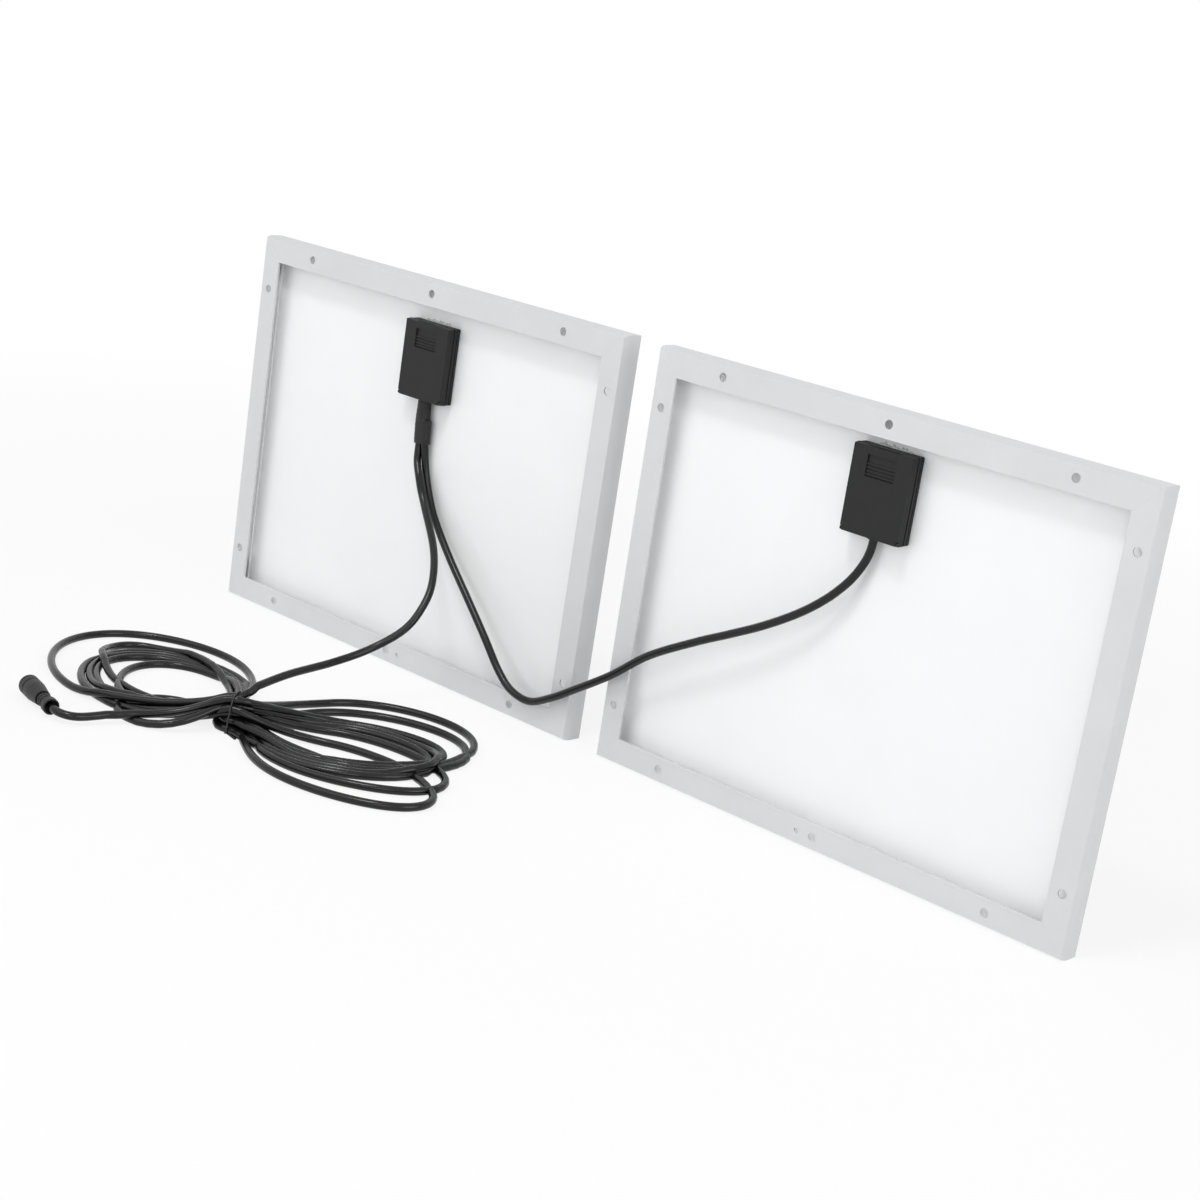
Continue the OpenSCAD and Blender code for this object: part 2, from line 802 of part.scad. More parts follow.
// One end of the hank: wound turns about an opening, drawn in to the tied middle.
module lobe(turns, opening) {
  linear_extrude(hank_h) difference() {
    round_outline(turns);
    round_outline(opening);
  }
}

module main_lead_hank() {
  color("black") on_hank() {
    lobe([[-lobe_start, 0, lobe_start_r], [-103, 104, 36], [-108, 58, 40], [-92, 12, 30]],
      [[-88, 86, 12], [-84, 50, 14], [-44, 26, 6]]);
    lobe([[lobe_start, 0, lobe_start_r], [112, 58, 36], [120, -42, 28]], [[100, 48, 10], [56, 20, 5]]);
    translate([-waist_len / 2, 0, waist_z]) rotate([0, 90, 0])
      cylinder(r = hank_waist_r, h = waist_len, $fn = 48);
  }
}

module hank_tie() {
  outer = hank_waist_r + tie_t;
  color("black") on_hank() translate([0, 0, waist_z]) {
    rotate([0, 90, 0]) difference() {
      cylinder(r = outer, h = tie_w, center = true);
      cylinder(r = hank_waist_r, h = tie_w + 2 * eps, center = true);
    }
    tube([[0, -hank_waist_r - tie_t / 2, 0], [3, -outer - 4, -4], [5, -outer - 7, -9]], [1, 0, 0], tie_t);
  }
}

// Plug frame: the origin is the lead's end of the plug, +Z runs to its front.
module on_plug() {
  translate([plug_x, plug_y, plug_z]) rotate([0, 90, plug_angle]) children();
}

module plug_body() {
  rib_count = 2;
  rib_pitch = 3;
  rib_w = 1.4;
  rib_t = 0.5;
  color("black") on_plug() difference() {
    union() {
      cylinder(r = collar_r, h = collar_len);
      translate([0, 0, collar_len]) cylinder(r1 = collar_r, r2 = neck_r, h = 2);
      cylinder(r = neck_r, h = flange_start + eps);
      for (i = [1 : rib_count]) {
        translate([0, 0, collar_len + i * rib_pitch + 1]) cylinder(r = neck_r + rib_t, h = rib_w);
      }
      translate([0, 0, flange_start]) cylinder(r = flange_r, h = flange_len);
      translate([0, 0, flange_start]) cylinder(r = barrel_r, h = barrel_end - flange_start);
    }
    translate([0, 0, -eps]) cylinder(r = collar_hollow_r, h = collar_hollow + eps);
    cylinder(r = lead_r, h = cable_depth);
    translate([0, 0, insert_start]) cylinder(r = insert_r, h = barrel_end);
    translate([0, 0, o_ring_z]) difference() {
      cylinder(r = barrel_r + eps, h = o_ring_w);
      cylinder(r = barrel_r - o_ring_depth, h = o_ring_w);
    }
  }
}

module coupling_nut() {
  outer = nut_d / 2;
  taper_len = 13;
  front_round = 1;
  lip_bore_r = neck_r + run_fit;
  tail_r = lip_bore_r + 1;
  groove_w = 1;
  groove_d = 0.45;
  flute_start = nut_end - nut_groove + groove_w + 0.8;
  flute_end = nut_end - front_round - 0.4;
  color("black") on_plug() difference() {
    rotate_extrude() difference() {
      union() {
        polygon([[0, nut_start], [tail_r, nut_start], [outer, nut_start + taper_len],
          [outer, nut_end - front_round], [outer - front_round, nut_end], [0, nut_end]]);
        translate([outer - front_round, nut_end - front_round]) circle(r = front_round, $fn = 48);
      }
      translate([outer - groove_d, nut_end - nut_groove]) square([groove_d + eps, groove_w]);
    }
    translate([0, 0, nut_start - eps]) cylinder(r = lip_bore_r, h = nut_len);
    translate([0, 0, nut_start + nut_lip_len]) cylinder(r = nut_back_bore_r, h = nut_len);
    translate([0, 0, nut_bore_start]) cylinder(r = nut_bore_r, h = nut_len);
    for (i = [0 : flute_count - 1]) {
      rotate([0, 0, i * 360 / flute_count])
        translate([outer + flute_r - flute_d, 0, flute_start])
        cylinder(r = flute_r, h = flute_end - flute_start, $fn = 24);
    }
  }
}

module plug_insert() {
  color("gray") on_plug() difference() {
    translate([0, 0, insert_start]) cylinder(r = insert_r, h = insert_end - insert_start);
    for (side = [-1, 1]) {
      translate([side * contact_spread, 0, insert_start]) cylinder(r = contact_r, h = barrel_end, $fn = 24);
    }
  }
}

module plug_contacts() {
  hollow_r = 0.35;
  hollow = 6;
  color("gold") on_plug() for (side = [-1, 1]) {
    translate([side * contact_spread, 0, insert_start]) difference() {
      cylinder(r = contact_r, h = insert_end - insert_start, $fn = 24);
      translate([0, 0, insert_end - insert_start - hollow])
        cylinder(r = hollow_r, h = hollow + eps, $fn = 24);
    }
  }
}

module plug_seal() {
  color("red") on_plug() translate([0, 0, o_ring_z]) difference() {
    cylinder(r = o_ring_r, h = o_ring_w);
    translate([0, 0, -eps]) cylinder(r = barrel_r - o_ring_depth, h = o_ring_w + 2 * eps);
  }
}

// Pieces of the left panel.
module left_rail_top() { left_panel() opposite_edge() long_rail(0); }
module left_rail_bottom() { left_panel() long_rail(1); }
module left_rail_left() { left_panel() side_rail(); }
module left_rail_right() { left_panel() opposite_edge() side_rail(); }
module left_corner_keys() { left_panel() corner_keys(); }
module left_glass() { left_panel() glass(); }
module left_encapsulant() { left_panel() encapsulant(left_box_z); }
module left_cells() { left_panel() cells(); }
module left_ribbons() { left_panel() ribbons(); }
module left_backsheet() { left_panel() backsheet(left_box_z); }
module left_edge_seal() { left_panel() edge_seal(); }
module left_box() { left_panel() translate([0, 0, left_box_z]) children(); }
module left_box_base() { left_box() box_base(); }
module left_box_lid() { left_box() box_lid(); }
module left_box_seal() { left_box() box_seal(); }
module left_box_adhesive() { left_box() box_adhesive(); }
module left_box_terminals() { left_box() box_terminals(); }
module left_box_screws() { left_box() box_screws(); }
module left_box_diode() { left_box() box_diode(); }
module left_box_tabs() { left_box() box_tabs(); }
module left_box_wires() { left_box() box_wires(); }
module left_box_grommet() { left_box() box_grommet(); }

// Pieces of the right panel.
module right_rail_top() { right_panel() opposite_edge() long_rail(0); }
module right_rail_bottom() { right_panel() long_rail(-1); }
module right_rail_left() { right_panel() side_rail(); }
module right_rail_right() { right_panel() opposite_edge() side_rail(); }
module right_corner_keys() { right_panel() corner_keys(); }
module right_glass() { right_panel() glass(); }
module right_encapsulant() { right_panel() encapsulant(right_box_z); }
module right_cells() { right_panel() cells(); }
module right_ribbons() { right_panel() ribbons(); }
module right_backsheet() { right_panel() backsheet(right_box_z); }
module right_edge_seal() { right_panel() edge_seal(); }
module right_box() { right_panel() translate([0, 0, right_box_z]) children(); }
module right_box_base() { right_box() box_base(); }
module right_box_lid() { right_box() box_lid(); }
module right_box_seal() { right_box() box_seal(); }
module right_box_adhesive() { right_box() box_adhesive(); }
module right_box_terminals() { right_box() box_terminals(); }
module right_box_screws() { right_box() box_screws(); }
module right_box_diode() { right_box() box_diode(); }
module right_box_tabs() { right_box() box_tabs(); }
module right_box_wires() { right_box() box_wires(); }
module right_box_grommet() { right_box() box_grommet(); }

left_rail_top();
left_rail_bottom();
left_rail_left();
left_rail_right();
left_corner_keys();
left_glass();
left_encapsulant();
left_cells();
left_ribbons();
left_backsheet();
left_edge_seal();
left_box_base();
left_box_lid();
left_box_seal();
left_box_adhesive();
left_box_terminals();
left_box_screws();
left_box_diode();
left_box_tabs();
left_box_wires();
left_box_grommet();
right_rail_top();
right_rail_bottom();
right_rail_left();
right_rail_right();
right_corner_keys();
right_glass();
right_encapsulant();
right_cells();
right_ribbons();
right_backsheet();
right_edge_seal();
right_box_base();
right_box_lid();
right_box_seal();
right_box_adhesive();
right_box_terminals();
right_box_screws();
right_box_diode();
right_box_tabs();
right_box_wires();
right_box_grommet();
stub_lead();
splice_sleeve();
jumper_lead();
main_lead_run();
main_lead_hank();
main_lead_tail();
hank_tie();
plug_body();
coupling_nut();
plug_insert();
plug_contacts();
plug_seal();
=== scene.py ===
"""Looks of a twin solar panel set: framed panels, junction boxes, leads, a tied hank and a plug."""

import logging
import math
from dataclasses import dataclass, field, replace
from enum import Enum
from typing import Any

import bmesh
import bpy
import numpy as np
from mathutils import Matrix


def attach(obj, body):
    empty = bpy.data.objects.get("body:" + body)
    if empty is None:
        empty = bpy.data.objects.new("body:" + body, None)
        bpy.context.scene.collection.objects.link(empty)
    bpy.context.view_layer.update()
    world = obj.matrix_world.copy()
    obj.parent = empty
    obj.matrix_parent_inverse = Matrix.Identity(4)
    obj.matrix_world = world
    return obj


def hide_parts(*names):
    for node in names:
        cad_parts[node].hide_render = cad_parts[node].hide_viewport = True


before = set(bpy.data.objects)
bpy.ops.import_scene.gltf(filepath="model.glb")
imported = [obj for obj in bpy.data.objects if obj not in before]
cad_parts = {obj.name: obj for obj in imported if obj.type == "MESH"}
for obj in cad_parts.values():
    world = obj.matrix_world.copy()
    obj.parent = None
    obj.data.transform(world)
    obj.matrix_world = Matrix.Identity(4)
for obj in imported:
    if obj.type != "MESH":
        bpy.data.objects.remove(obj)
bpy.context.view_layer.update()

MM = 0.001
PANEL_X = 189.0
LOG = logging.getLogger("solar_panel_set")


class Body(Enum):
    """The moving bodies that pieces ride on."""

    PANEL_SET = "panel_set"
    LEFT_LID = "left_lid"
    RIGHT_LID = "right_lid"
    NUT = "nut"


class Grain(Enum):
    """Which way a surface pattern is drawn out, as scale factors on X, Y and Z."""

    EVEN = (1.0, 1.0, 1.0)
    ALONG_X = (0.012, 1.0, 1.0)
    ALONG_Z = (1.0, 1.0, 0.012)


class Side(Enum):
    """The two panels, named as seen from behind."""

    LEFT = "left"
    RIGHT = "right"

    @property
    def middle_x(self) -> float:
        """Gives the X of the panel's middle, in millimetres."""
        return -PANEL_X if self is Side.LEFT else PANEL_X


def to_linear(code: str) -> tuple[float, float, float, float]:
    """Turns an sRGB hex colour into Blender's linear colour.

    Args:
        code: Six hex digits after a hash sign.

    Returns:
        Linear red, green and blue, with an alpha of one.
    """
    parts = np.array([int(code[i:i + 2], 16) for i in (1, 3, 5)]) / 255.0
    linear = np.where(parts <= 0.04045, parts / 12.92, ((parts + 0.055) / 1.055) ** 2.4)
    return (*linear.tolist(), 1.0)


def add_node(tree: bpy.types.NodeTree, kind: str, settings: dict[Any, Any],
             links: dict[Any, tuple[bpy.types.Node, Any]]) -> bpy.types.Node:
    """Adds one shader node with its settings and links.

    Args:
        tree: The material's or world's node tree.
        kind: Blender's type name of the node.
        settings: Values by property name, or by name or number of an input socket.
        links: For an input's name or number, the node and output that feed it.

    Returns:
        The new node.
    """
    node = tree.nodes.new(kind)
    for name, value in settings.items():
        if isinstance(name, str) and name in node.bl_rna.properties:
            setattr(node, name, value)
        else:
            node.inputs[name].default_value = value
    for name, (source, output) in links.items():
        tree.links.new(source.outputs[output], node.inputs[name])
    return node


def empty_tree(owner: bpy.types.Material | bpy.types.World) -> bpy.types.NodeTree:
    """Clears the node tree of a material or world.

    Args:
        owner: The material or world.

    Returns:
        Its empty node tree.
    """
    owner.use_nodes = True
    owner.node_tree.nodes.clear()
    return owner.node_tree


def place_object(name: str, data: bpy.types.ID) -> bpy.types.Object:
    """Puts a new object into the scene, at the origin.

    Args:
        name: The object's name.
        data: Its mesh, curve, lamp or camera.

    Returns:
        The object.
    """
    piece = bpy.data.objects.new(name, data)
    bpy.context.scene.collection.objects.link(piece)
    return piece


def read_vectors(items: bpy.types.bpy_prop_collection, name: str) -> np.ndarray:
    """Reads one vector of each of a mesh's points, normals or faces.

    Args:
        items: The mesh's points, normals or faces.
        name: Which vector of them.

    Returns:
        An array of items by three.
    """
    values = np.zeros(3 * len(items))
    items.foreach_get(name, values)
    return values.reshape(-1, 3)


# Finishes

@dataclass(frozen=True)
class Finish:
    """A surface of one stuff: two close colours, a spread of gloss and a fine relief."""

    name: str
    colour: str
    second: str
    roughness: float
    rough_spread: float = 0.08
    mottle_mm: float = 14.0
    grain_mm: float = 0.8
    relief_mm: float = 0.02
    grain: Grain = Grain.EVEN
    metallic: float = 0.0
    sockets: tuple[tuple[str, Any], ...] = ()

    def tint(self, tree: bpy.types.NodeTree, place: bpy.types.Node) -> tuple[bpy.types.Node, Any]:
        """Mixes the two colours by a soft noise as wide as the mottle.

        Args:
            tree: The material's node tree.
            place: The node that gives Object coordinates.

        Returns:
            The node and output that carry the colour.
        """
        noise = add_node(tree, "ShaderNodeTexNoise",
                         {"Scale": 1.0 / (self.mottle_mm * MM), "Detail": 3.0},
                         {"Vector": (place, 0)})
        mix = add_node(tree, "ShaderNodeMix",
                       {"data_type": "RGBA", 6: to_linear(self.colour), 7: to_linear(self.second)},
                       {0: (noise, 0)})
        return mix, 2

    def material(self) -> bpy.types.Material:
        """Makes the material the first time it is asked for.

        One noise gives both the relief and the spread of gloss; the colours have a wider one.

        Returns:
            The material, the same one each time.
        """
        known = bpy.data.materials.get(self.name)
        if known is not None:
            return known
        made = bpy.data.materials.new(self.name)
        tree = empty_tree(made)
        coordinates = add_node(tree, "ShaderNodeTexCoord", {}, {})
        place = add_node(tree, "ShaderNodeMapping", {"Scale": self.grain.value},
                         {"Vector": (coordinates, "Object")})
        plain = add_node(tree, "ShaderNodeMapping", {}, {"Vector": (coordinates, "Object")})
        grit = add_node(tree, "ShaderNodeTexNoise",
                        {"Scale": 1.0 / (self.grain_mm * MM), "Detail": 2.0},
                        {"Vector": (place, 0)})
        relief = add_node(tree, "ShaderNodeBump", {"Distance": self.relief_mm * MM, "Strength": 1.0},
                          {"Height": (grit, 0)})
        gloss = add_node(tree, "ShaderNodeMapRange",
                         {"To Min": self.roughness - self.rough_spread / 2,
                          "To Max": self.roughness + self.rough_spread / 2},
                         {"Value": (grit, 0)})
        shader = add_node(tree, "ShaderNodeBsdfPrincipled",
                          {"Metallic": self.metallic, **dict(self.sockets)},
                          {"Base Color": self.tint(tree, plain),
                           "Roughness": (gloss, 0), "Normal": (relief, 0)})
        add_node(tree, "ShaderNodeOutputMaterial", {}, {"Surface": (shader, 0)})
        return made


@dataclass(frozen=True)
class CellFinish(Finish):
    """Silicon cell: dark blue, with thin printed fingers across the ribbons."""

    finger: str = "#8C97A6"
    finger_pitch_mm: float = 2.6
    finger_share: float = 0.12

    def tint(self, tree: bpy.types.NodeTree, place: bpy.types.Node) -> tuple[bpy.types.Node, Any]:
        """Lays upright lines at the finger pitch over the mottled blue.

        The line is where a sine wave along X is near its top.

        Args:
            tree: The material's node tree.
            place: The node that gives Object coordinates.

        Returns:
            The node and output that carry the colour.
        """
        blue, output = super().tint(tree, place)
        waves_per_scale = 20.0
        wave = add_node(tree, "ShaderNodeTexWave",
                        {"bands_direction": "X",
                         "Scale": 2 * math.pi / (waves_per_scale * self.finger_pitch_mm * MM)},
                        {"Vector": (place, 0)})
        line = add_node(tree, "ShaderNodeMapRange",
                        {"From Min": 1.0 - self.finger_share, "From Max": 1.0 - self.finger_share / 2},
                        {"Value": (wave, "Fac")})
        mix = add_node(tree, "ShaderNodeMix", {"data_type": "RGBA", 7: to_linear(self.finger)},
                       {0: (line, 0), 6: (blue, output)})
        return mix, 2


@dataclass(frozen=True)
class CoreFinish(Finish):
    """Insulation of the two cores: the one to the left of the box's middle takes the second colour."""

    middle: float = 0.0

    def tint(self, tree: bpy.types.NodeTree, place: bpy.types.Node) -> tuple[bpy.types.Node, Any]:
        """Picks the colour by the side of the box's middle.

        Args:
            tree: The material's node tree.
            place: The node that gives Object coordinates.

        Returns:
            The node and output that carry the colour.
        """
        parts = add_node(tree, "ShaderNodeSeparateXYZ", {}, {0: (place, 0)})
        pick = add_node(tree, "ShaderNodeMath", {"operation": "LESS_THAN", 1: self.middle},
                        {0: (parts, "X")})
        mix = add_node(tree, "ShaderNodeMix",
                       {"data_type": "RGBA", 6: to_linear(self.colour), 7: to_linear(self.second)},
                       {0: (pick, 0)})
        return mix, 2


# Extruded and anodised aluminium: satin silver with fine die lines along the rail. Real lines are
# about 0.1 mm apart; they are drawn at 0.5 mm so that they show.
ALONG_RAIL = Finish("anodised_aluminium_along", "#D8D9DA", "#CED0D1", 0.48, 0.10, 40.0, 0.5, 0.012,
                    Grain.ALONG_X, 0.25)
UP_RAIL = replace(ALONG_RAIL, name="anodised_aluminium_upright", grain=Grain.ALONG_Z)
# The aluminium on the rails' hollow side, with painted light: paler and flatter than the outside and
# without die lines, a paler colour that stands in for light in the hollow, because with the outside's
# finish the hollow renders darker than a real one looks.
RAIL_HOLLOW_PAINTED_LIGHT = Finish("hollow_aluminium_painted_light", "#F6F7F7", "#F0F1F1", 0.6, 0.08, 30.0, 0.6, 0.004)
# Cast aluminium corner key: pale dull grey with a sandy skin.
CAST_KEY = Finish("cast_aluminium", "#CBCDCE", "#BCBFC1", 0.6, 0.12, 5.0, 0.7, 0.05, metallic=0.4)
# White polyester backsheet: even white film with a faint satin and a very fine emboss. The emboss
# is really near 0.1 mm; it is drawn at 0.6 mm.
BACKSHEET = Finish("polyester_backsheet", "#F4F5F5", "#EFF0F1", 0.38, 0.08, 60.0, 0.6, 0.006)
# Low-iron tempered glass: clear and shiny, with a faint rolled texture on its face. The alpha lets
# the lamps' light reach the cells straight through it.
GLASS = Finish("tempered_glass", "#FAFCFB", "#F6FAF8", 0.05, 0.03, 90.0, 1.6, 0.004,
               sockets=(("Transmission Weight", 1.0), ("IOR", 1.5), ("Alpha", 0.3)))
# Cured encapsulant film: clear, a very little milky, and bonded to the glass, so it has no shine.
ENCAPSULANT = Finish("cured_encapsulant", "#EDEFEE", "#E6E9E8", 0.3, 0.05, 50.0, 2.0, 0.002,
                     sockets=(("Alpha", 0.02), ("Specular IOR Level", 0.0)))
# Polycrystalline silicon with a blue coating: dark blue in soft flakes, with printed fingers. The
# fingers are really 0.1 mm wide; they are drawn wider so that they show.
SILICON = CellFinish("coated_silicon", "#0D1638", "#182A60", 0.28, 0.06, 5.0, 1.0, 0.002)
# Tinned copper ribbon: bright soft metal with rolling marks.
RIBBON = Finish("tinned_copper", "#CDD0D2", "#BEC2C5", 0.33, 0.10, 6.0, 0.5, 0.010,
                Grain.ALONG_X, 1.0)
# Edge sealant: white silicone, slightly uneven.
EDGE_SEALANT = Finish("white_sealant", "#ECECE8", "#E2E2DC", 0.45, 0.08, 6.0, 1.2, 0.05)
# Moulded black ABS: charcoal, matt from a spark-eroded mould. The grit is really 0.1 mm; it is drawn
# at 0.45 mm.
BOX_ABS = Finish("moulded_abs", "#1E1E1F", "#232324", 0.50, 0.14, 9.0, 0.45, 0.030,
                 sockets=(("Specular IOR Level", 0.28),))
# Moulded rubber: black, matt, with a soft bloom.
RUBBER = Finish("moulded_rubber", "#1B1B1B", "#232323", 0.68, 0.10, 4.0, 0.5, 0.030)
# Translucent silicone adhesive, squeezed out and cured: milky, wet-looking.
SILICONE = Finish("silicone_adhesive", "#D8D9D8", "#B4B5B4", 0.26, 0.10, 2.5, 1.4, 0.050,
                  sockets=(("Subsurface Weight", 0.2), ("Subsurface Radius", (0.001, 0.001, 0.001)),
                           ("Subsurface Scale", 1.0)))
# Machined brass: warm yellow with turning marks.
BRASS = Finish("machined_brass", "#C9A24A", "#B88F3B", 0.32, 0.10, 3.0, 0.4, 0.012, metallic=1.0)
# Zinc-plated steel: cool grey, slightly cloudy.
ZINC_STEEL = Finish("zinc_plated_steel", "#C4C8CB", "#AEB4B9", 0.36, 0.12, 2.0, 0.5, 0.010,
                    metallic=1.0)
# Epoxy body of the diode: black and matt.
DIODE_EPOXY = Finish("diode_epoxy", "#202022", "#28282A", 0.5, 0.10, 2.0, 0.4, 0.015)
# Black PVC of the leads: satin, extruded, with faint scuffs.
LEAD_PVC = Finish("satin_pvc", "#080809", "#0D0D0E", 0.22, 0.08, 7.0, 1.1, 0.016,
                  sockets=(("Specular IOR Level", 0.38),))
# Heat-shrunk polyolefin: black, duller than the lead, with small puckers.
SHRINK = Finish("shrunk_polyolefin", "#141415", "#1B1B1C", 0.44, 0.14, 5.0, 1.6, 0.090,
                sockets=(("Specular IOR Level", 0.38),))
# Polythene cover of the tie wire: black and waxy.
TIE_POLYTHENE = Finish("tie_polythene", "#19191A", "#222223", 0.5, 0.12, 3.0, 0.6, 0.020)
# Soft PVC moulded over the plug's end: black, matt, slightly dimpled.
OVERMOULD = Finish("overmoulded_pvc", "#151516", "#1C1C1D", 0.46, 0.12, 4.0, 0.5, 0.030,
                   sockets=(("Specular IOR Level", 0.38),))
# Moulded nylon of the screw ring: black with a dry, fine grain.
NYLON = Finish("moulded_nylon", "#161617", "#1D1D1E", 0.48, 0.12, 5.0, 0.4, 0.030,
               sockets=(("Specular IOR Level", 0.38),))
# Moulded insert: dark grey plastic.
INSERT = Finish("moulded_insert", "#2E2F31", "#37383A", 0.48, 0.10, 3.0, 0.4, 0.020)


# Surfaces

def dress(piece: bpy.types.Object, finish: Finish) -> bpy.types.Object:
    """Gives a piece one finish.

    Args:
        piece: A new piece, or a CAD node's object.
        finish: The finish.

    Returns:
        The piece.
    """
    piece.data.materials.clear()
    piece.data.materials.append(finish.material())
    return piece


def dress_node(node: str, finish: Finish) -> bpy.types.Object:
    """Gives a CAD node's own solid a finish, and reports it."""
    LOG.info("%s keeps its solid", node)
    return dress(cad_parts[node], finish)


def put_on(piece: bpy.types.Object, body: Body, slot: str, *nodes: str) -> bpy.types.Object:
    """Makes a piece ride on a body and stand for nodes.

    Args:
        piece: The finished piece.
        body: The body that it moves with.
        slot: A material slot's name; not used.
        nodes: The CAD nodes that it stands for.

    Returns:
        The piece.
    """
    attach(piece, body.value)
    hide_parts(*nodes)
    LOG.info("%s rides on %s", piece.name, body.value)
    return piece


def shell_mesh(name: str, grids: list[np.ndarray], sharp_degrees: float = 40.0) -> bpy.types.Object:
    """Makes closed shells from grids of rings, each ring closed on itself.

    Neighbouring points of two neighbouring rings make one four-sided face, found by index arithmetic
    on the whole grid. The first and last ring are closed by a flat cap. Shading is smooth, except
    across edges sharper than the angle.

    Args:
        name: The piece's name.
        grids: Arrays of rings by points by three, in metres.
        sharp_degrees: The angle from which an edge looks sharp.

    Returns:
        The new object, at the origin.
    """
    points: list[list[float]] = []
    faces: list[list[int]] = []
    for grid in grids:
        rows, columns = grid.shape[:2]
        index = len(points) + np.arange(rows * columns).reshape(rows, columns)
        below, above = index[:-1], index[1:]
        quads = np.stack([below, np.roll(below, -1, 1), np.roll(above, -1, 1), above], -1)
        points += grid.reshape(-1, 3).tolist()
        faces += quads.reshape(-1, 4).tolist()
        faces += [index[0, ::-1].tolist(), index[-1].tolist()]
    mesh = bpy.data.meshes.new(name)
    mesh.from_pydata(points, [], faces)
    shape = bmesh.new()
    shape.from_mesh(mesh)
    bmesh.ops.recalc_face_normals(shape, faces=shape.faces)
    shape.to_mesh(mesh)
    shape.free()
    mesh.polygons.foreach_set("use_smooth", np.ones(len(mesh.polygons), bool))
    mesh.set_sharp_from_angle(angle=math.radians(sharp_degrees))
    return place_object(name, mesh)


def round_tube(path: np.ndarray, radius: float, guide: np.ndarray, sides: int = 14) -> np.ndarray:
    """Carries a circle along a path.

    Each ring is the path's point plus radius times cosine and sine along two directions square to
    the path, the first of them square to the guide as well.

    Args:
        path: Points in metres.
        radius: Radius in metres.
        guide: A direction, or one for each point, that the path never follows.
        sides: Points in each ring.

    Returns:
        A grid of rings by points by three.
    """
    along = np.gradient(path, axis=0)
    along /= np.linalg.norm(along, axis=1, keepdims=True)
    side = np.cross(along, guide)
    side /= np.linalg.norm(side, axis=1, keepdims=True)
    other = np.cross(along, side)
    turn = np.linspace(0.0, 2 * math.pi, sides, endpoint=False)[None, :, None]
    return path[:, None] + radius * (np.cos(turn) * side[:, None] + np.sin(turn) * other[:, None])


def smooth_route(points: list[list[float]] | np.ndarray, steps: int) -> np.ndarray:
    """Draws a smooth curve through points.

    Between two points the curve is the Catmull-Rom cubic of them and their two neighbours.

    Args:
        points: The points to pass through.
        steps: Steps between two points.

    Returns:
        The curve's points.
    """
    known = np.asarray(points, float)
    padded = np.vstack([known[:1], known, known[-1:]])
    a, b, c, d = (padded[i:len(padded) - 3 + i][:, None] for i in range(4))
    t = (np.arange(steps) / steps)[None, :, None]
    curve = 0.5 * (2 * b + (c - a) * t + (2 * a - 5 * b + 4 * c - d) * t ** 2
                   + (3 * b - a - 3 * c + d) * t ** 3)
    return np.vstack([curve.reshape(-1, known.shape[1]), known[-1:]])


def rolling_mean(values: np.ndarray, window: int, times: int) -> np.ndarray:
    """Averages each point with its neighbours along a path, with the ends held.

    Args:
        values: Points by columns.
        window: How many points are averaged.
        times: How often.

    Returns:
        The averaged points.
    """
    half = window // 2
    for _ in range(times):
        wide = np.pad(values, ((half, half), (0, 0)), mode="edge")
        total = np.cumsum(np.vstack([np.zeros((1, values.shape[1])), wide]), axis=0)
        values = (total[window:] - total[:-window]) / window
    return values


def lead_curve(name: str, path: np.ndarray, diameter: float) -> bpy.types.Object:
    """Makes a round lead as one open spline.

    Args:
        name: The piece's name.
        path: The lead's middle line in metres.
        diameter: The lead's diameter in metres.

    Returns:
        The curve object, at the origin.
    """
    curve = bpy.data.curves.new(name, "CURVE")
    curve.dimensions = "3D"
    curve.bevel_depth = diameter / 2
    curve.bevel_resolution = 5
    curve.use_fill_caps = True
    spline = curve.splines.new("POLY")
    spline.points.add(len(path) - 1)
    spline.points.foreach_set("co", np.c_[path, np.ones(len(path))].ravel())
    spline.use_smooth = True
    return place_object(name, curve)


def merged_copy(node: str, ending: str, merge_degrees: float = 0.0) -> bpy.types.Object:
    """Copies a node's solid and joins its points, and its flat neighbouring faces.

    Args:
        node: The CAD node.
        ending: What the copy's name adds to the node's.
        merge_degrees: Faces flatter than this to each other become one; zero leaves them.

    Returns:
        The copy, which stands for nothing yet.
    """
    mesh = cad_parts[node].data.copy()
    mesh.name = node + ending
    shape = bmesh.new()
    shape.from_mesh(mesh)
    bmesh.ops.remove_doubles(shape, verts=shape.verts, dist=1e-6)
    if merge_degrees > 0.0:
        bmesh.ops.dissolve_limit(shape, angle_limit=math.radians(merge_degrees), verts=shape.verts,
                                 edges=shape.edges)
    shape.to_mesh(mesh)
    shape.free()
    return place_object(mesh.name, mesh)


def rounded_copy(node: str, radius_mm: float, merge_degrees: float = 0.5,
                 round_degrees: float = 32.0) -> bpy.types.Object:
    """Copies a node's solid, merges its triangles into whole faces and rounds its edges.

    Args:
        node: The CAD node.
        radius_mm: Width of the rounding.
        merge_degrees: Faces flatter than this to each other become one.
        round_degrees: Edges sharper than this are rounded.

    Returns:
        The copy, which stands for nothing yet.
    """
    piece = merged_copy(node, "_finished", merge_degrees)
    piece.data.polygons.foreach_set("use_smooth", np.ones(len(piece.data.polygons), bool))
    bevel = piece.modifiers.new("rounded edges", "BEVEL")
    bevel.width = radius_mm * MM
    bevel.segments = 2
    bevel.limit_method = "ANGLE"
    bevel.angle_limit = math.radians(round_degrees)
    bevel.use_clamp_overlap = True
    normals = piece.modifiers.new("even shading", "WEIGHTED_NORMAL")
    normals.keep_sharp = False
    return piece


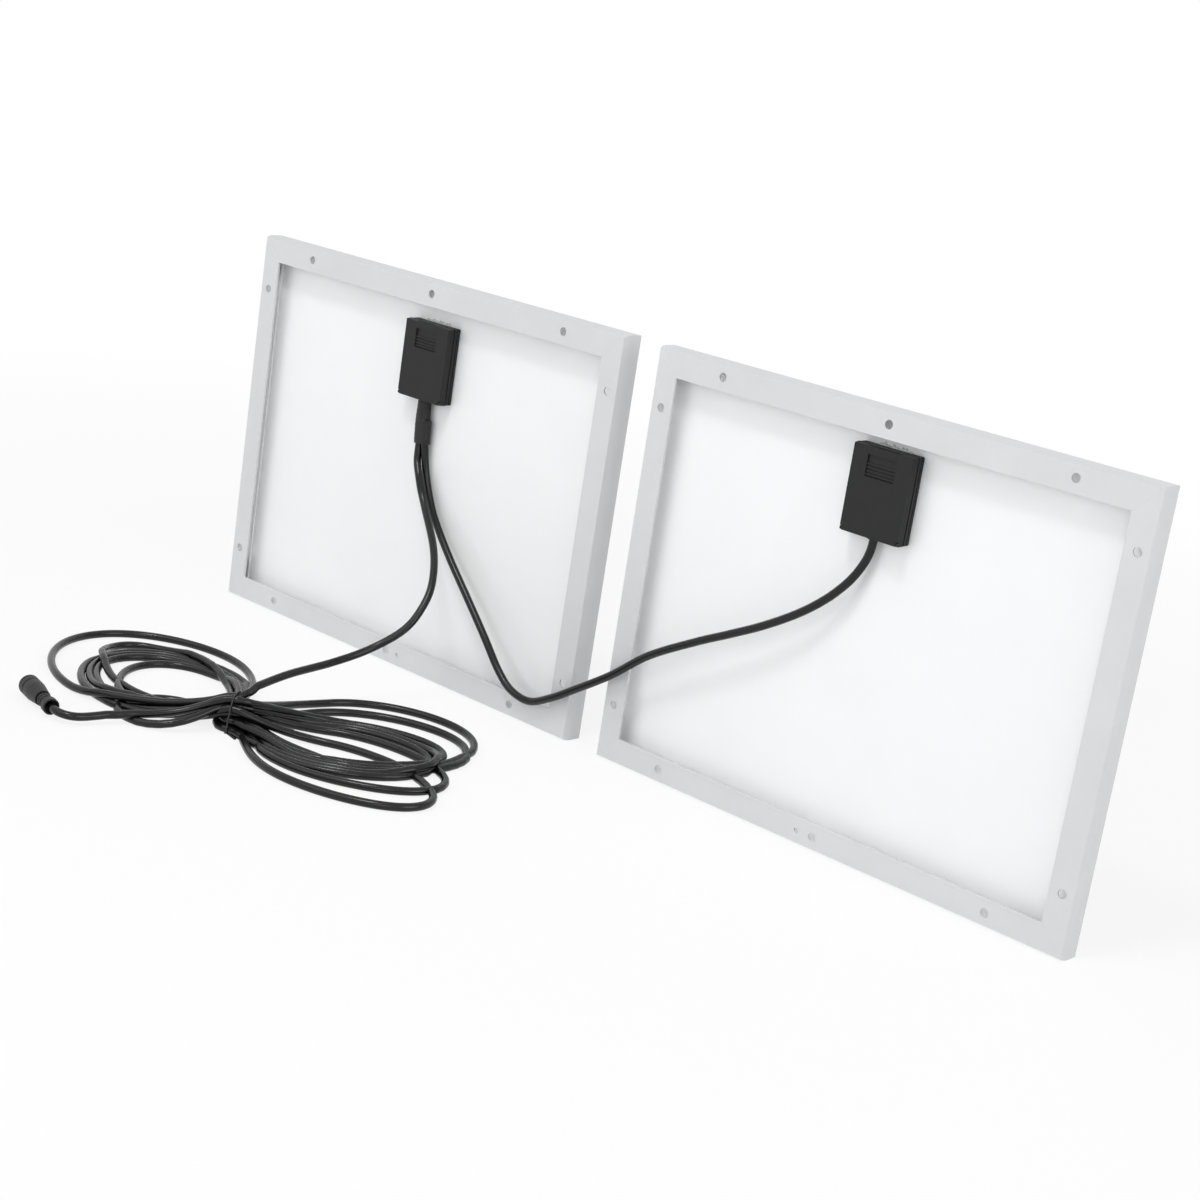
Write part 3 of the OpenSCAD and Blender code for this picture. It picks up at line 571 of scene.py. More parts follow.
def swollen_copy(node: str, swell_mm: float) -> bpy.types.Object:
    """Copies a node's solid a hair larger or smaller, so that clear and solid faces don't coincide.

    Each point moves along its normal by the swell.

    Args:
        node: The CAD node.
        swell_mm: How far the points move, out if positive.

    Returns:
        The copy, which stands for nothing yet.
    """
    piece = merged_copy(node, "_shown")
    mesh = piece.data
    normals = read_vectors(mesh.vertex_normals, "vector")
    moved = read_vectors(mesh.vertices, "co") + normals * swell_mm * MM
    mesh.vertices.foreach_set("co", moved.ravel())
    mesh.update()
    return piece


# Studio

def turn_to(item: bpy.types.Object, right: np.ndarray, up: np.ndarray, back: np.ndarray,
            place: tuple[float, float, float]) -> None:
    """Places a lamp or the camera by the directions to its right, up and behind it.

    Args:
        item: The lamp or camera.
        right: The direction to its right.
        up: The direction up from it.
        back: The direction behind it, away from where it looks.
        place: Where it stands, in metres.
    """
    turn = np.eye(4)
    turn[:3] = np.c_[right, up, back, place]
    item.matrix_world = Matrix(turn.tolist())


def straight_rays(tree: bpy.types.NodeTree) -> bpy.types.Node:
    """Picks the rays that show a backdrop: the camera's, and those off metal and through glass.

    Args:
        tree: The node tree of a backdrop.

    Returns:
        The node that gives one for such a ray and nothing for any other.
    """
    ray = add_node(tree, "ShaderNodeLightPath", {}, {})
    first = add_node(tree, "ShaderNodeMath", {"operation": "MAXIMUM"},
                     {0: (ray, "Is Camera Ray"), 1: (ray, "Is Glossy Ray")})
    return add_node(tree, "ShaderNodeMath", {"operation": "MAXIMUM"},
                    {0: (first, 0), 1: (ray, "Is Transmission Ray")})


@dataclass(frozen=True)
class Lamp:
    """A soft disk lamp that faces the middle of the set; one that isn't mirrored shows in no gloss."""

    name: str
    place: tuple[float, float, float]
    size: float
    power: float
    mirrored: bool = True
    aim_z: float = 0.12

    def hang(self) -> None:
        """Makes the lamp and turns it to the set."""
        data = bpy.data.lights.new(self.name, "AREA")
        data.shape = "DISK"
        data.size = self.size
        data.energy = self.power
        lamp = place_object(self.name, data)
        back = np.array(self.place) - np.array([0.0, 0.0, self.aim_z])
        back /= np.linalg.norm(back)
        right = np.cross([0.0, 0.0, 1.0], back)
        right /= np.linalg.norm(right)
        turn_to(lamp, right, np.cross(back, right), back, self.place)
        lamp.visible_glossy = self.mirrored


@dataclass
class Studio:
    """Pale floor, soft lamps and the camera at the photograph's place."""

    camera_place: tuple[float, float, float] = (0.86965, -1.05656, 0.46645)
    camera_right: tuple[float, float, float] = (0.734298, 0.662397, 0.148446)
    camera_down: tuple[float, float, float] = (0.281872, -0.098590, -0.954373)
    camera_forward: tuple[float, float, float] = (-0.617539, 0.742637, -0.259106)
    lens: float = 66.124
    sensor: float = 36.0
    floor_half: float = 30.0
    near_shadow: float = 0.55
    far_shadow: float = 1.3
    near_white: float = 0.82
    surround: float = 0.5
    paper: str = "#F4F4F4"
    lamps: tuple[Lamp, ...] = (
        Lamp("main_lamp", (-0.5, -1.35, 1.75), 1.5, 5.5),
        Lamp("side_lamp", (2.2, -0.15, 1.0), 1.4, 12.0),
        Lamp("fill_lamp", (-0.7, -2.0, 0.45), 1.6, 10.0, False),
        Lamp("camera_lamp", (1.15, -1.45, 0.8), 0.6, 2.5),
        Lamp("top_lamp", (0.1, -0.95, 1.9), 0.4, 9.0),
        Lamp("front_lamp", (0.4, 2.0, 1.5), 1.6, 4.0))

    def set_camera(self) -> None:
        """Places the camera by its right, up and backward directions."""
        data = bpy.data.cameras.new("camera")
        data.sensor_fit = "HORIZONTAL"
        data.sensor_width = self.sensor
        data.lens = self.lens
        data.clip_start = 0.01
        data.clip_end = 200.0
        camera = place_object("camera", data)
        right, down, forward = (np.array(v) for v in
                                (self.camera_right, self.camera_down, self.camera_forward))
        turn_to(camera, right, -down, -forward, self.camera_place)
        bpy.context.scene.camera = camera

    def lay_floor(self) -> None:
        """Lays a flat floor that is white to the camera and keeps a soft shadow near the object."""
        reach = np.linspace(-1.0, 1.0, 9) * self.floor_half
        x, y = np.meshgrid(reach, reach, indexing="ij")
        grid = np.stack([x, y, np.zeros_like(x)], -1)
        index = np.arange(grid.shape[0] * grid.shape[1]).reshape(grid.shape[:2])
        faces = np.stack([index[:-1, :-1], index[1:, :-1], index[1:, 1:], index[:-1, 1:]], -1)
        mesh = bpy.data.meshes.new("floor")
        mesh.from_pydata(grid.reshape(-1, 3).tolist(), [], faces.reshape(-1, 4).tolist())
        place_object("floor", mesh)
        made = bpy.data.materials.new("white_paper")
        tree = empty_tree(made)
        place = add_node(tree, "ShaderNodeTexCoord", {}, {})
        far = add_node(tree, "ShaderNodeVectorMath", {"operation": "LENGTH"},
                       {0: (place, "Object")})
        fade = add_node(tree, "ShaderNodeMapRange",
                        {"From Min": self.near_shadow, "From Max": self.far_shadow,
                         "To Min": self.near_white, "To Max": 1.0}, {"Value": (far, "Value")})
        seen = add_node(tree, "ShaderNodeMath", {"operation": "MULTIPLY"},
                        {0: (straight_rays(tree), 0), 1: (fade, 0)})
        paper = add_node(tree, "ShaderNodeBsdfDiffuse", {"Color": to_linear(self.paper)}, {})
        white = add_node(tree, "ShaderNodeEmission", {"Color": (1.0, 1.0, 1.0, 1.0)}, {})
        mix = add_node(tree, "ShaderNodeMixShader", {}, {0: (seen, 0), 1: (paper, 0), 2: (white, 0)})
        add_node(tree, "ShaderNodeOutputMaterial", {}, {"Surface": (mix, 0)})
        mesh.materials.append(made)

    def light(self) -> None:
        """Sets a white surround and hangs the lamps."""
        world = bpy.data.worlds.new("white_surround")
        bpy.context.scene.world = world
        tree = empty_tree(world)
        strength = add_node(tree, "ShaderNodeMapRange", {"To Min": self.surround, "To Max": 1.0},
                            {"Value": (straight_rays(tree), 0)})
        sky = add_node(tree, "ShaderNodeBackground", {"Color": (1.0, 1.0, 1.0, 1.0)},
                       {"Strength": (strength, 0)})
        add_node(tree, "ShaderNodeOutputWorld", {}, {"Surface": (sky, 0)})
        for lamp in self.lamps:
            lamp.hang()
        bpy.context.scene.view_settings.view_transform = "Standard"


# Leads

LEAD_D = 5.2
CABLE_Y = -1.7
LEFT_BOX_Z = 189.0
RIGHT_BOX_Z = 194.5


def under_box(points: list[list[float]], middle_x: float, bottom_z: float) -> list[list[float]]:
    """Moves points given from the middle of a box's bottom edge to their place."""
    return [[x + middle_x, y, z + bottom_z] for x, y, z in points]


@dataclass
class SpliceSleeve:
    """Shrink sleeve below the left box, round over the stub and flat over the two leads."""

    lean: float = 5.0
    upper_r: float = 4.6
    lower_r: float = 3.75
    pitch: float = 5.6
    start: float = 1.2
    middle: float = 14.2
    end: float = 30.7
    shoulder_h: float = 0.5
    tuck: float = 0.25
    ripples: tuple[float, float] = (0.05, 0.03)
    lead_depths: tuple[float, ...] = (14.2, 24.7, 31.7)
    rows: int = 90
    columns: int = 56

    def point(self, across: np.ndarray | float, down: np.ndarray | float,
              through: np.ndarray | float = 0.0) -> np.ndarray:
        """Places points that are counted from the box's bottom edge along the leaning sleeve.

        Args:
            across: Millimetres to the right.
            down: Millimetres down the sleeve.
            through: Millimetres towards the glass.

        Returns:
            The points, in millimetres.
        """
        c = math.cos(math.radians(self.lean))
        s = math.sin(math.radians(self.lean))
        return np.stack([-PANEL_X + across * c + down * s, CABLE_Y + through,
                         LEFT_BOX_Z + across * s - down * c], -1)

    def lead_points(self, across: float) -> list[list[float]]:
        """Gives the points where a lead runs straight through the sleeve, in millimetres."""
        return [self.point(across, depth).tolist() for depth in self.lead_depths]

    def build(self) -> bpy.types.Object:
        """Makes the sleeve's skin.

        A ring has the radius of its depth, pulled apart sideways by a soft step of the cosine times
        half the pitch. On the left the step grows in slowly from the box down, on the right at once
        where the jumper's end lies, and a shoulder stands out there. Two low sine ripples run round
        it, and its lower end is tucked in.

        Returns:
            The sleeve.
        """
        down = np.linspace(0.0, 1.0, self.rows)[:, None]
        depth = self.start + down * (self.end - self.start)
        turn = np.linspace(0.0, 2 * math.pi, self.columns, endpoint=False)[None, :]
        slow = np.clip((depth - self.start) / (self.middle + 2.0 - self.start), 0.0, 1.0)
        quick = np.clip((depth - self.middle + 0.9) / 1.8, 0.0, 1.0)
        quick = quick * quick * (3 - 2 * quick)
        to_right = (1 + np.tanh(3.2 * np.cos(turn))) / 2
        apart = self.pitch / 2 * (quick * to_right - slow * (1 - to_right))
        flat = quick * to_right + slow * (1 - to_right)
        radius = self.upper_r + (self.lower_r - self.upper_r) * flat
        shoulder = self.shoulder_h * np.exp(-((depth - self.middle - 0.7) / 0.9) ** 2)
        ripple = (self.ripples[0] * np.sin(depth * 1.9 + 1.3 * np.sin(turn))
                  + self.ripples[1] * np.sin(3 * turn + depth * 0.8))
        tucked = -self.tuck * np.exp(-((depth - self.end) / 0.4) ** 2)
        radius = radius + ripple + tucked + shoulder * np.clip(np.cos(turn + 0.6), 0.0, 1.0) ** 2
        grid = self.point(apart + radius * np.cos(turn), depth + 0 * turn, radius * np.sin(turn))
        piece = dress(shell_mesh("splice_sleeve_skin", [grid * MM]), SHRINK)
        return put_on(piece, Body.PANEL_SET, "shrink_sleeve", "splice_sleeve")


@dataclass
class JumperLead:
    """Lead from the sleeve to the right box, hanging behind the inner rails."""

    sleeve: SpliceSleeve

    def route(self) -> list[list[float]]:
        """Lists the points that the lead passes.

        Returns:
            The points in millimetres, from the sleeve to the inside of the right box.
        """
        return (
            self.sleeve.lead_points(self.sleeve.pitch / 2)
            + under_box([[9, -0.4, -50.4], [18.2, -0.6, -70.8], [28.5, -1.4, -84.4],
                         [47.1, -3.6, -102.6]], -PANEL_X, LEFT_BOX_Z)
            + under_box([[69.4, -6.5, 67.5], [92.8, -9.5, 47.2], [111.5, -11.5, 29.6]], -PANEL_X, 0)
            + [[-62.8, -12.5, 20.4], [-45.1, -13, 18.4], [-26.9, -13.5, 26.6], [-9.9, -13.5, 37.2],
               [20.1, -13.5, 57.2], [48.6, -13.5, 79.6]]
            + under_box([[-106, -13, -95.2], [-82.3, -12, -83], [-59.2, -11, -70.6],
                         [-37.8, -9, -56.8], [-21.8, -7, -43.5], [-10.5, -5, -30.6],
                         [-4.5, -3, -20], [-1, -2, -10], [0, CABLE_Y, 0], [0, CABLE_Y, 10]],
                        PANEL_X, RIGHT_BOX_Z))

    def build(self) -> bpy.types.Object:
        """Makes the lead.

        Returns:
            The lead.
        """
        path = smooth_route(self.route(), 10) * MM
        piece = dress(lead_curve("jumper_cord", path, LEAD_D * MM), LEAD_PVC)
        put_on(piece, Body.PANEL_SET, "lead_pvc", "jumper_lead")
        return piece


@dataclass(frozen=True)
class Loop:
    """One loop of the hank: its length, the angle of its axis to the back, and its half width."""

    length: float
    angle: float
    half: float


@dataclass(frozen=True)
class Seat:
    """A strand's place under the tie: across the bundle, and the layer it lies in."""

    across: float
    layer: int


@dataclass(frozen=True)
class Settling:
    """How the lead settles: moves in millimetres, shares of a round, and reaches along the lead.

    The bend is taken over bend_reach points to each side. Every pair_every rounds, pairs are looked for
    among points pair_skip or more apart along the lead and closer than a diameter plus pair_margin. The
    tie holds within twice hold_reach of it. Away from it, a strand starts higher by lift for each
    strand laid before it.
    """

    rounds: int = 260
    step: float = 2.6
    sink: float = 0.25
    sink_fade: float = 0.6
    draw_back: float = 0.02
    stiffness: float = 0.24
    bend_reach: int = 3
    push: float = 0.42
    push_times: int = 2
    pair_every: int = 6
    pair_skip: int = 6
    pair_margin: float = 3.5
    hold: float = 0.5
    hold_reach: float = 7.0
    near_tie: float = 40.0
    lift: float = 2.0
    held_end: int = 22


@dataclass
class MainLead:
    """The long lead: a run from the sleeve, a hank wound in eights on the floor, a tail to the plug."""

    sleeve: SpliceSleeve
    tie_x: float = -123.0
    tie_y: float = -197.0
    heading: float = 27.0
    pinch: float = 0.25
    layer_h: float = 4.5
    first_layer: float = 2.9
    bundle_half: float = 40.0
    samples: int = 90
    settling: Settling = Settling()
    left: tuple[Loop, ...] = (
        Loop(186, 36, 92), Loop(165, 39, 56), Loop(141, 35, 68), Loop(147, 37, 75),
        Loop(123, 40, 58), Loop(142, 34, 72), Loop(77, -8, 40))
    right: tuple[Loop, ...] = (
        Loop(152, 25, 84), Loop(149, 20, 68), Loop(159, -19, 53), Loop(133, 7, 54),
        Loop(150, -10, 52), Loop(134, 2, 60), Loop(136, 14, 52))
    seats: tuple[Seat, ...] = (
        Seat(2.6, 4), Seat(5.2, 1), Seat(5.2, 3), Seat(-5.2, 1), Seat(2.6, 2), Seat(-2.6, 0),
        Seat(-5.2, 3), Seat(-7.8, 0), Seat(-2.6, 2), Seat(2.6, 0), Seat(7.8, 2), Seat(7.8, 0),
        Seat(0.0, 3), Seat(0.0, 1), Seat(-2.6, 4))
    laid: tuple[int, ...] = (7, 5, 9, 3, 11, 1, 13, 6, 8, 4, 10, 2, 12, 14, 0)
    tail: tuple[tuple[float, float, float], ...] = (
        (-136, -211.5, 17.5), (-143, -224.5, 15.5), (-151, -237, 12), (-159, -249, 8),
        (-164.1, -262.3, 5.6), (-166.5, -269, 5), (-167.3, -273, 4.9), (-169.3, -281, 5.2),
        (-173.8, -286.2, 5.8), (-179.7, -288.2, 6.4), (-186.6, -287.2, 6.7))
    plug_angle: float = 164.6
    plug_depth: float = 13.0
    path: np.ndarray = field(default_factory=lambda: np.zeros((0, 3)))

    def axes(self) -> tuple[np.ndarray, np.ndarray, np.ndarray]:
        """Works out the hank's own axes on the floor.

        Returns:
            The tie's place, the direction along the hank and the direction to the back.
        """
        turn = math.radians(self.heading)
        along = np.array([math.cos(turn), math.sin(turn)])
        return np.array([self.tie_x, self.tie_y]), along, np.array([-along[1], along[0]])

    def run_route(self) -> list[list[float]]:
        """Lists the points from the sleeve down to the tie.

        Returns:
            The points in millimetres.
        """
        return (
            self.sleeve.lead_points(-self.sleeve.pitch / 2)
            + under_box([[1, -2.8, -37.5], [3.7, -4.8, -44], [10.2, -7.9, -52], [15.2, -8.9, -61],
                         [24.9, -12.5, -71], [51, -26, -91]], -PANEL_X, LEFT_BOX_Z)
            + under_box([[67.5, -40, 80], [72.8, -52, 65.5]], -PANEL_X, 0)
            + [[-117.5, -65, 51.5], [-127, -84, 37.8], [-132, -111, 30.4], [-130, -149, 28],
               [-124, -182, 25.5]])

    def tail_route(self) -> list[list[float]]:
        """Lists the points from the hank into the plug.

        Returns:
            The points in millimetres.
        """
        turn = math.radians(self.plug_angle)
        rear = np.array(self.tail[-1])
        inward = np.array([math.cos(turn), math.sin(turn), 0.0]) * self.plug_depth
        return [list(p) for p in self.tail] + [(rear + inward / 2).tolist(), (rear + inward).tolist()]

    def loops(self) -> tuple[np.ndarray, np.ndarray]:
        """Draws the figure-eight turns flat on the floor.

        A loop is length times cosine out along its axis and half width times sine across it. Near
        the tie the width is drawn in by cosine squared over itself plus the pinch squared. The
        axis turns by the loop's angle, and each end runs to its own seat under the tie.

        Returns:
            The plan's points, and for each the count of loops up to it.
        """
        origin, along, back = self.axes()
        turns = [loop for pair in zip(self.left, self.right) for loop in pair]
        last = len(turns) - 1
        plan = []
        count = []
        for k, loop in enumerate(turns):
            t = np.linspace(0.0, 1.0, self.samples, endpoint=k == last)
            c = np.cos(math.pi * (t - 0.5))
            s = np.sin(math.pi * (t - 0.5))
            drawn = c * c / (c * c + self.pinch ** 2) * (1 + self.pinch ** 2)
            out = loop.length * c
            wide = loop.half * s * drawn
            turn = math.radians(loop.angle)
            side = -1.0 if k % 2 == 0 else 1.0
            ease = t * t * (3 - 2 * t)
            seat = self.seats[k].across * (1 - ease) + self.seats[k + 1].across * ease
            u = side * (out * math.cos(turn) - wide * math.sin(turn))
            w = seat + out * math.sin(turn) + wide * math.cos(turn)
            plan.append(origin + u[:, None] * along + w[:, None] * back)
            count.append(k + t)
        return np.concatenate(plan), np.concatenate(count)

    def laid_out(self) -> tuple[np.ndarray, np.ndarray]:
        """Puts the run, the turns and the tail in one row of evenly spaced points.

        Returns:
            The points in millimetres, with the turns flat on the floor, and a label for each: minus
            one on the run, then the count of loops, and the number of strands on the tail.
        """
        plan, count = self.loops()
        run = smooth_route(self.run_route(), 8)
        tail = smooth_route(self.tail_route(), 8)
        rows = np.vstack([
            np.c_[run, np.full(len(run), -1.0)],
            np.c_[plan, np.full(len(plan), LEAD_D / 2), count],
            np.c_[tail, np.full(len(tail), float(len(self.seats)))]])
        measure = np.r_[0, np.cumsum(np.linalg.norm(np.diff(rows[:, :3], axis=0), axis=1))]
        even = np.linspace(0, measure[-1], int(measure[-1] / self.settling.step) + 1)
        rows = np.stack([np.interp(even, measure, rows[:, i]) for i in range(4)], 1)
        return rows[:, :3], rows[:, 3]

    def pushed_apart(self, points: np.ndarray, first: np.ndarray, second: np.ndarray) -> np.ndarray:
        """Works out how far each point is pushed by strands that come closer than a diameter.

        Both points of a pair move along the line between them by a share of what is missing. A point
        in several pairs takes their sum over half their number.

        Args:
            points: The lead's points.
            first: Numbers of the pairs' first points.
            second: Numbers of the pairs' second points.

        Returns:
            A move for each point.
        """
        gap = points[first] - points[second]
        size = np.linalg.norm(gap, axis=1)
        touching = size < LEAD_D
        i, j = first[touching], second[touching]
        size = np.maximum(size[touching], 1e-6)[:, None]
        push = self.settling.push * (LEAD_D - size) * gap[touching] / size
        move = np.stack([np.bincount(i, push[:, k], len(points))
                         - np.bincount(j, push[:, k], len(points)) for k in range(3)], 1)
        hits = np.bincount(i, minlength=len(points)) + np.bincount(j, minlength=len(points))
        return move / np.maximum(1.0, 0.5 * hits)[:, None]

    def settle(self) -> np.ndarray:
        """Lets the lead sink onto the floor and onto itself.

        The whole lead is a row of points about half a diameter apart. In each round the points
        sink, are drawn back to the plan, keep the plan's bend, push apart where two strands come
        closer than a diameter, and rest on the floor. Under the tie they are drawn to their seats.
        The run and the plug's end are held.

        Returns:
            The middle line in millimetres.
        """
        way = self.settling
        radius = LEAD_D / 2
        origin, along, back = self.axes()
        strands = len(self.seats)
        laid, label = self.laid_out()
        flat = rolling_mean(laid[:, :2], 11, 3)
        strand = np.clip(np.floor(label + 0.5), 0, strands - 1).astype(int)
        order = np.zeros(strands)
        order[list(self.laid)] = np.arange(strands)
        seat_w = np.array([s.across for s in self.seats])[strand]
        seat_z = np.array([self.first_layer + self.layer_h * s.layer for s in self.seats])[strand]
        near = np.exp(-(((flat - origin) @ along) / way.near_tie) ** 2)
        lifted = radius + (seat_z - radius) * near + order[strand] * way.lift * (1 - near)
        hung = label < -0.5
        leaving = label > strands - 0.5
        height = np.where(hung | leaving, laid[:, 2], lifted)
        points = np.c_[flat, rolling_mean(height[:, None], 9, 2)]
        reach = way.bend_reach
        fixed = np.zeros(len(points), bool)
        fixed[:int(np.argmax(~hung)) - reach] = True
        fixed[-way.held_end:] = True
        points[fixed] = laid[fixed]
        free = ~fixed
        under_tie = free & ~hung & (label < strands - 0.4)
        rest = points.copy()
        bend = np.zeros_like(points)
        bend[reach:-reach, :2] = (rest[:-2 * reach] + rest[2 * reach:] - 2 * rest[reach:-reach])[:, :2]
        first = second = np.zeros(0, int)
        for turn in range(way.rounds):
            if turn % way.pair_every == 0:
                square = (points * points).sum(1)
                apart = square[:, None] + square[None] - 2 * points @ points.T
                close = apart < (LEAD_D + way.pair_margin) ** 2
                first, second = np.where(np.triu(close, way.pair_skip))
            points[free, 2] -= way.sink * (1 - way.sink_fade * turn / way.rounds)
            points[free, :2] += way.draw_back * (rest - points)[free, :2]
            pull = np.zeros_like(points)
            pull[reach:-reach] = points[:-2 * reach] + points[2 * reach:] - 2 * points[reach:-reach]
            points[free] += way.stiffness * (pull - bend)[free]
            for _ in range(way.push_times):
                points[free] += self.pushed_apart(points, first, second)[free]
            u = (points[:, :2] - origin) @ along
            w = (points[:, :2] - origin) @ back
            hold = way.hold * np.exp(-(u / way.hold_reach) ** 2)
            hold = hold * (np.abs(u) < 2 * way.hold_reach) * under_tie
            points[:, :2] += (hold * (seat_w - w))[:, None] * back
            points[:, 2] += hold * (seat_z - points[:, 2])
            points[free, 2] = np.maximum(points[free, 2], radius)
        middle = rolling_mean(points, 3, 1)
        middle[:1], middle[-1:] = points[:1], points[-1:]
        return middle

    def build(self) -> bpy.types.Object:
        """Makes the lead on its settled line.

        Returns:
            The lead.
        """
        self.path = smooth_route(self.settle(), 2) * MM
        piece = dress(lead_curve("main_cord", self.path, LEAD_D * MM), LEAD_PVC)
        return put_on(piece, Body.PANEL_SET, "lead_pvc", "main_lead_run", "main_lead_hank",
                      "main_lead_tail")

    def bundle(self) -> np.ndarray:
        """Finds where the strands cross the tie's plane.

        Returns:
            Each crossing's place across the bundle and up, in millimetres.
        """
        origin, along, back = self.axes()
        points = self.path / MM
        u = (points[:, :2] - origin) @ along
        w = (points[:, :2] - origin) @ back
        close = np.abs(w) < self.bundle_half
        cross = np.where((u[:-1] * u[1:] <= 0) & close[:-1])[0]
        share = u[cross] / (u[cross] - u[cross + 1])
        return np.stack([w[cross] + share * (w[cross + 1] - w[cross]),
                         points[cross, 2] + share * (points[cross + 1, 2] - points[cross, 2])], 1)


@dataclass
class TwistTie:
    """Covered wire round the hank, its ends twisted together at the front."""

    lead: MainLead
    wire_r: float = 0.55
    turns: float = 1.0
    spread: float = 1.4
    start: float = 215.0
    twist_len: float = 12.0
    twist_pitch: float = 3.2
    twist_way: tuple[float, float, float] = (0.75, -0.62, -0.22)
    gather_share: float = 0.25
    sides: int = 10

    def winding(self) -> np.ndarray:
        """Works out the wire's way round the bundle.

        For each direction, the reach is the furthest strand plus its radius and the wire's. The way
        round is the reach along that direction plus its slope square to it, which is the outline of
        the bundle drawn tight.

        Returns:
            The wire's points in millimetres.
        """
        strands = self.lead.bundle()
        origin, along, back = self.lead.axes()
        angle = math.radians(self.start) + np.linspace(0.0, 2 * math.pi * self.turns, 240)
        facing = np.stack([np.cos(angle), np.sin(angle)], 1)
        reach = (strands @ facing.T).max(0) + LEAD_D / 2 + self.wire_r
        reach = rolling_mean(reach[:, None], 7, 2)[:, 0]
        slope = np.gradient(reach, angle)
        outline = reach[:, None] * facing + slope[:, None] * np.stack([-facing[:, 1], facing[:, 0]], 1)
        outline = rolling_mean(outline, 5, 1)
        shift = np.linspace(-0.5, 0.5, len(angle)) * self.spread
        floor = origin + shift[:, None] * along + outline[:, :1] * back
        return np.c_[floor, np.maximum(outline[:, 1], self.wire_r)]

    def twist(self, first: np.ndarray, second: np.ndarray) -> list[np.ndarray]:
        """Twists the two ends round each other.

        Each end runs from where it leaves the bundle into a helix whose radius is the wire's, half a
        turn away from the other end's.

        Args:
            first: Where one end leaves the bundle.
            second: Where the other end leaves it.

        Returns:
            Two grids of rings, in metres.
        """
        _, along, back = self.lead.axes()
        to_end, to_back, to_top = self.twist_way
        way = np.array([*(to_end * along + to_back * back), to_top])
        way /= np.linalg.norm(way)
        side = np.cross(way, [0.0, 0.0, 1.0])
        side /= np.linalg.norm(side)
        up = np.cross(side, way)
        t = np.linspace(0.0, 1.0, 60)[:, None]
        middle = (first + second) / 2 + way * self.twist_len * t
        gather = np.clip(t / self.gather_share, 0.0, 1.0)
        grids = []
        for end, phase in ((first, 0.0), (second, math.pi)):
            turn = 2 * math.pi * self.twist_len * t / self.twist_pitch + phase
            helix = middle + self.wire_r * (np.cos(turn) * side + np.sin(turn) * up)
            path = end * (1 - gather) + helix * gather
            path[:, 2] = np.maximum(path[:, 2], self.wire_r)
            grids.append(round_tube(path * MM, self.wire_r * MM, up, self.sides))
        return grids

    def build(self) -> bpy.types.Object:
        """Makes the tie.

        Returns:
            The tie.
        """
        path = self.winding()
        _, along, _ = self.lead.axes()
        guide = np.array([*along, 0.0])
        grids = [round_tube(path * MM, self.wire_r * MM, guide, self.sides)]
        grids += self.twist(path[0], path[-1])
        piece = dress(shell_mesh("hank_tie_wire", grids), TIE_POLYTHENE)
        return put_on(piece, Body.PANEL_SET, "tie_plastic", "hank_tie")


# Hard pieces

@dataclass
class SolarPanel:
    """One framed panel: mitred rails, laminate, cells and seals."""

    side: Side
    edge_r: float = 0.35
    middle_z: float = 135.0
    hollow_y: tuple[float, float] = (-7.2, 3.3)
    hollow_play: float = 1.0

    def dress_rails(self) -> None:
        """Rounds the rails' edges and gives each its die lines along its own length."""
        for place in ("top", "bottom", "left", "right"):
            node = f"{self.side.value}_rail_{place}"
            finish = ALONG_RAIL if place in ("top", "bottom") else UP_RAIL
            piece = dress(rounded_copy(node, self.edge_r), finish)
            self.dress_hollow_painted_light(piece.data)
            put_on(piece, Body.PANEL_SET, "anodised_frame", node)

    def dress_hollow_painted_light(self, mesh: bpy.types.Mesh) -> None:
        """Gives the faces of a rail's hollow side their own finish, paler with painted light.

        A face is in the hollow if it lies between the back lip and the laminate and doesn't face
        away from the panel's middle.

        Args:
            mesh: The rail.
        """
        centres = read_vectors(mesh.polygons, "center") / MM
        outward = centres - np.array([self.side.middle_x, 0.0, self.middle_z])
        outward[:, 1] = 0.0
        facing = (outward * read_vectors(mesh.polygons, "normal")).sum(1)
        hollow = ((centres[:, 1] > self.hollow_y[0]) & (centres[:, 1] < self.hollow_y[1])
                  & (facing < self.hollow_play))
        # The hollow's paler finish is painted light in the hollow.
        mesh.materials.append(RAIL_HOLLOW_PAINTED_LIGHT.material())
        mesh.polygons.foreach_set("material_index", hollow.astype(np.int32))

    def dress_laminate(self) -> None:
        """Finishes the layers of the laminate and the keys inside the rails."""
        for name, finish in (("corner_keys", CAST_KEY), ("glass", GLASS), ("cells", SILICON),
                             ("backsheet", BACKSHEET), ("edge_seal", EDGE_SEALANT)):
            dress_node(f"{self.side.value}_{name}", finish)
        for name, finish, slot, swell in (("encapsulant", ENCAPSULANT, "encapsulant", -0.05),
                                          ("ribbons", RIBBON, "tinned_ribbon", 0.06)):
            node = f"{self.side.value}_{name}"
            put_on(dress(swollen_copy(node, swell), finish), Body.PANEL_SET, slot, node)

    def build(self) -> None:
        """Finishes the whole panel."""
        self.dress_rails()
        self.dress_laminate()


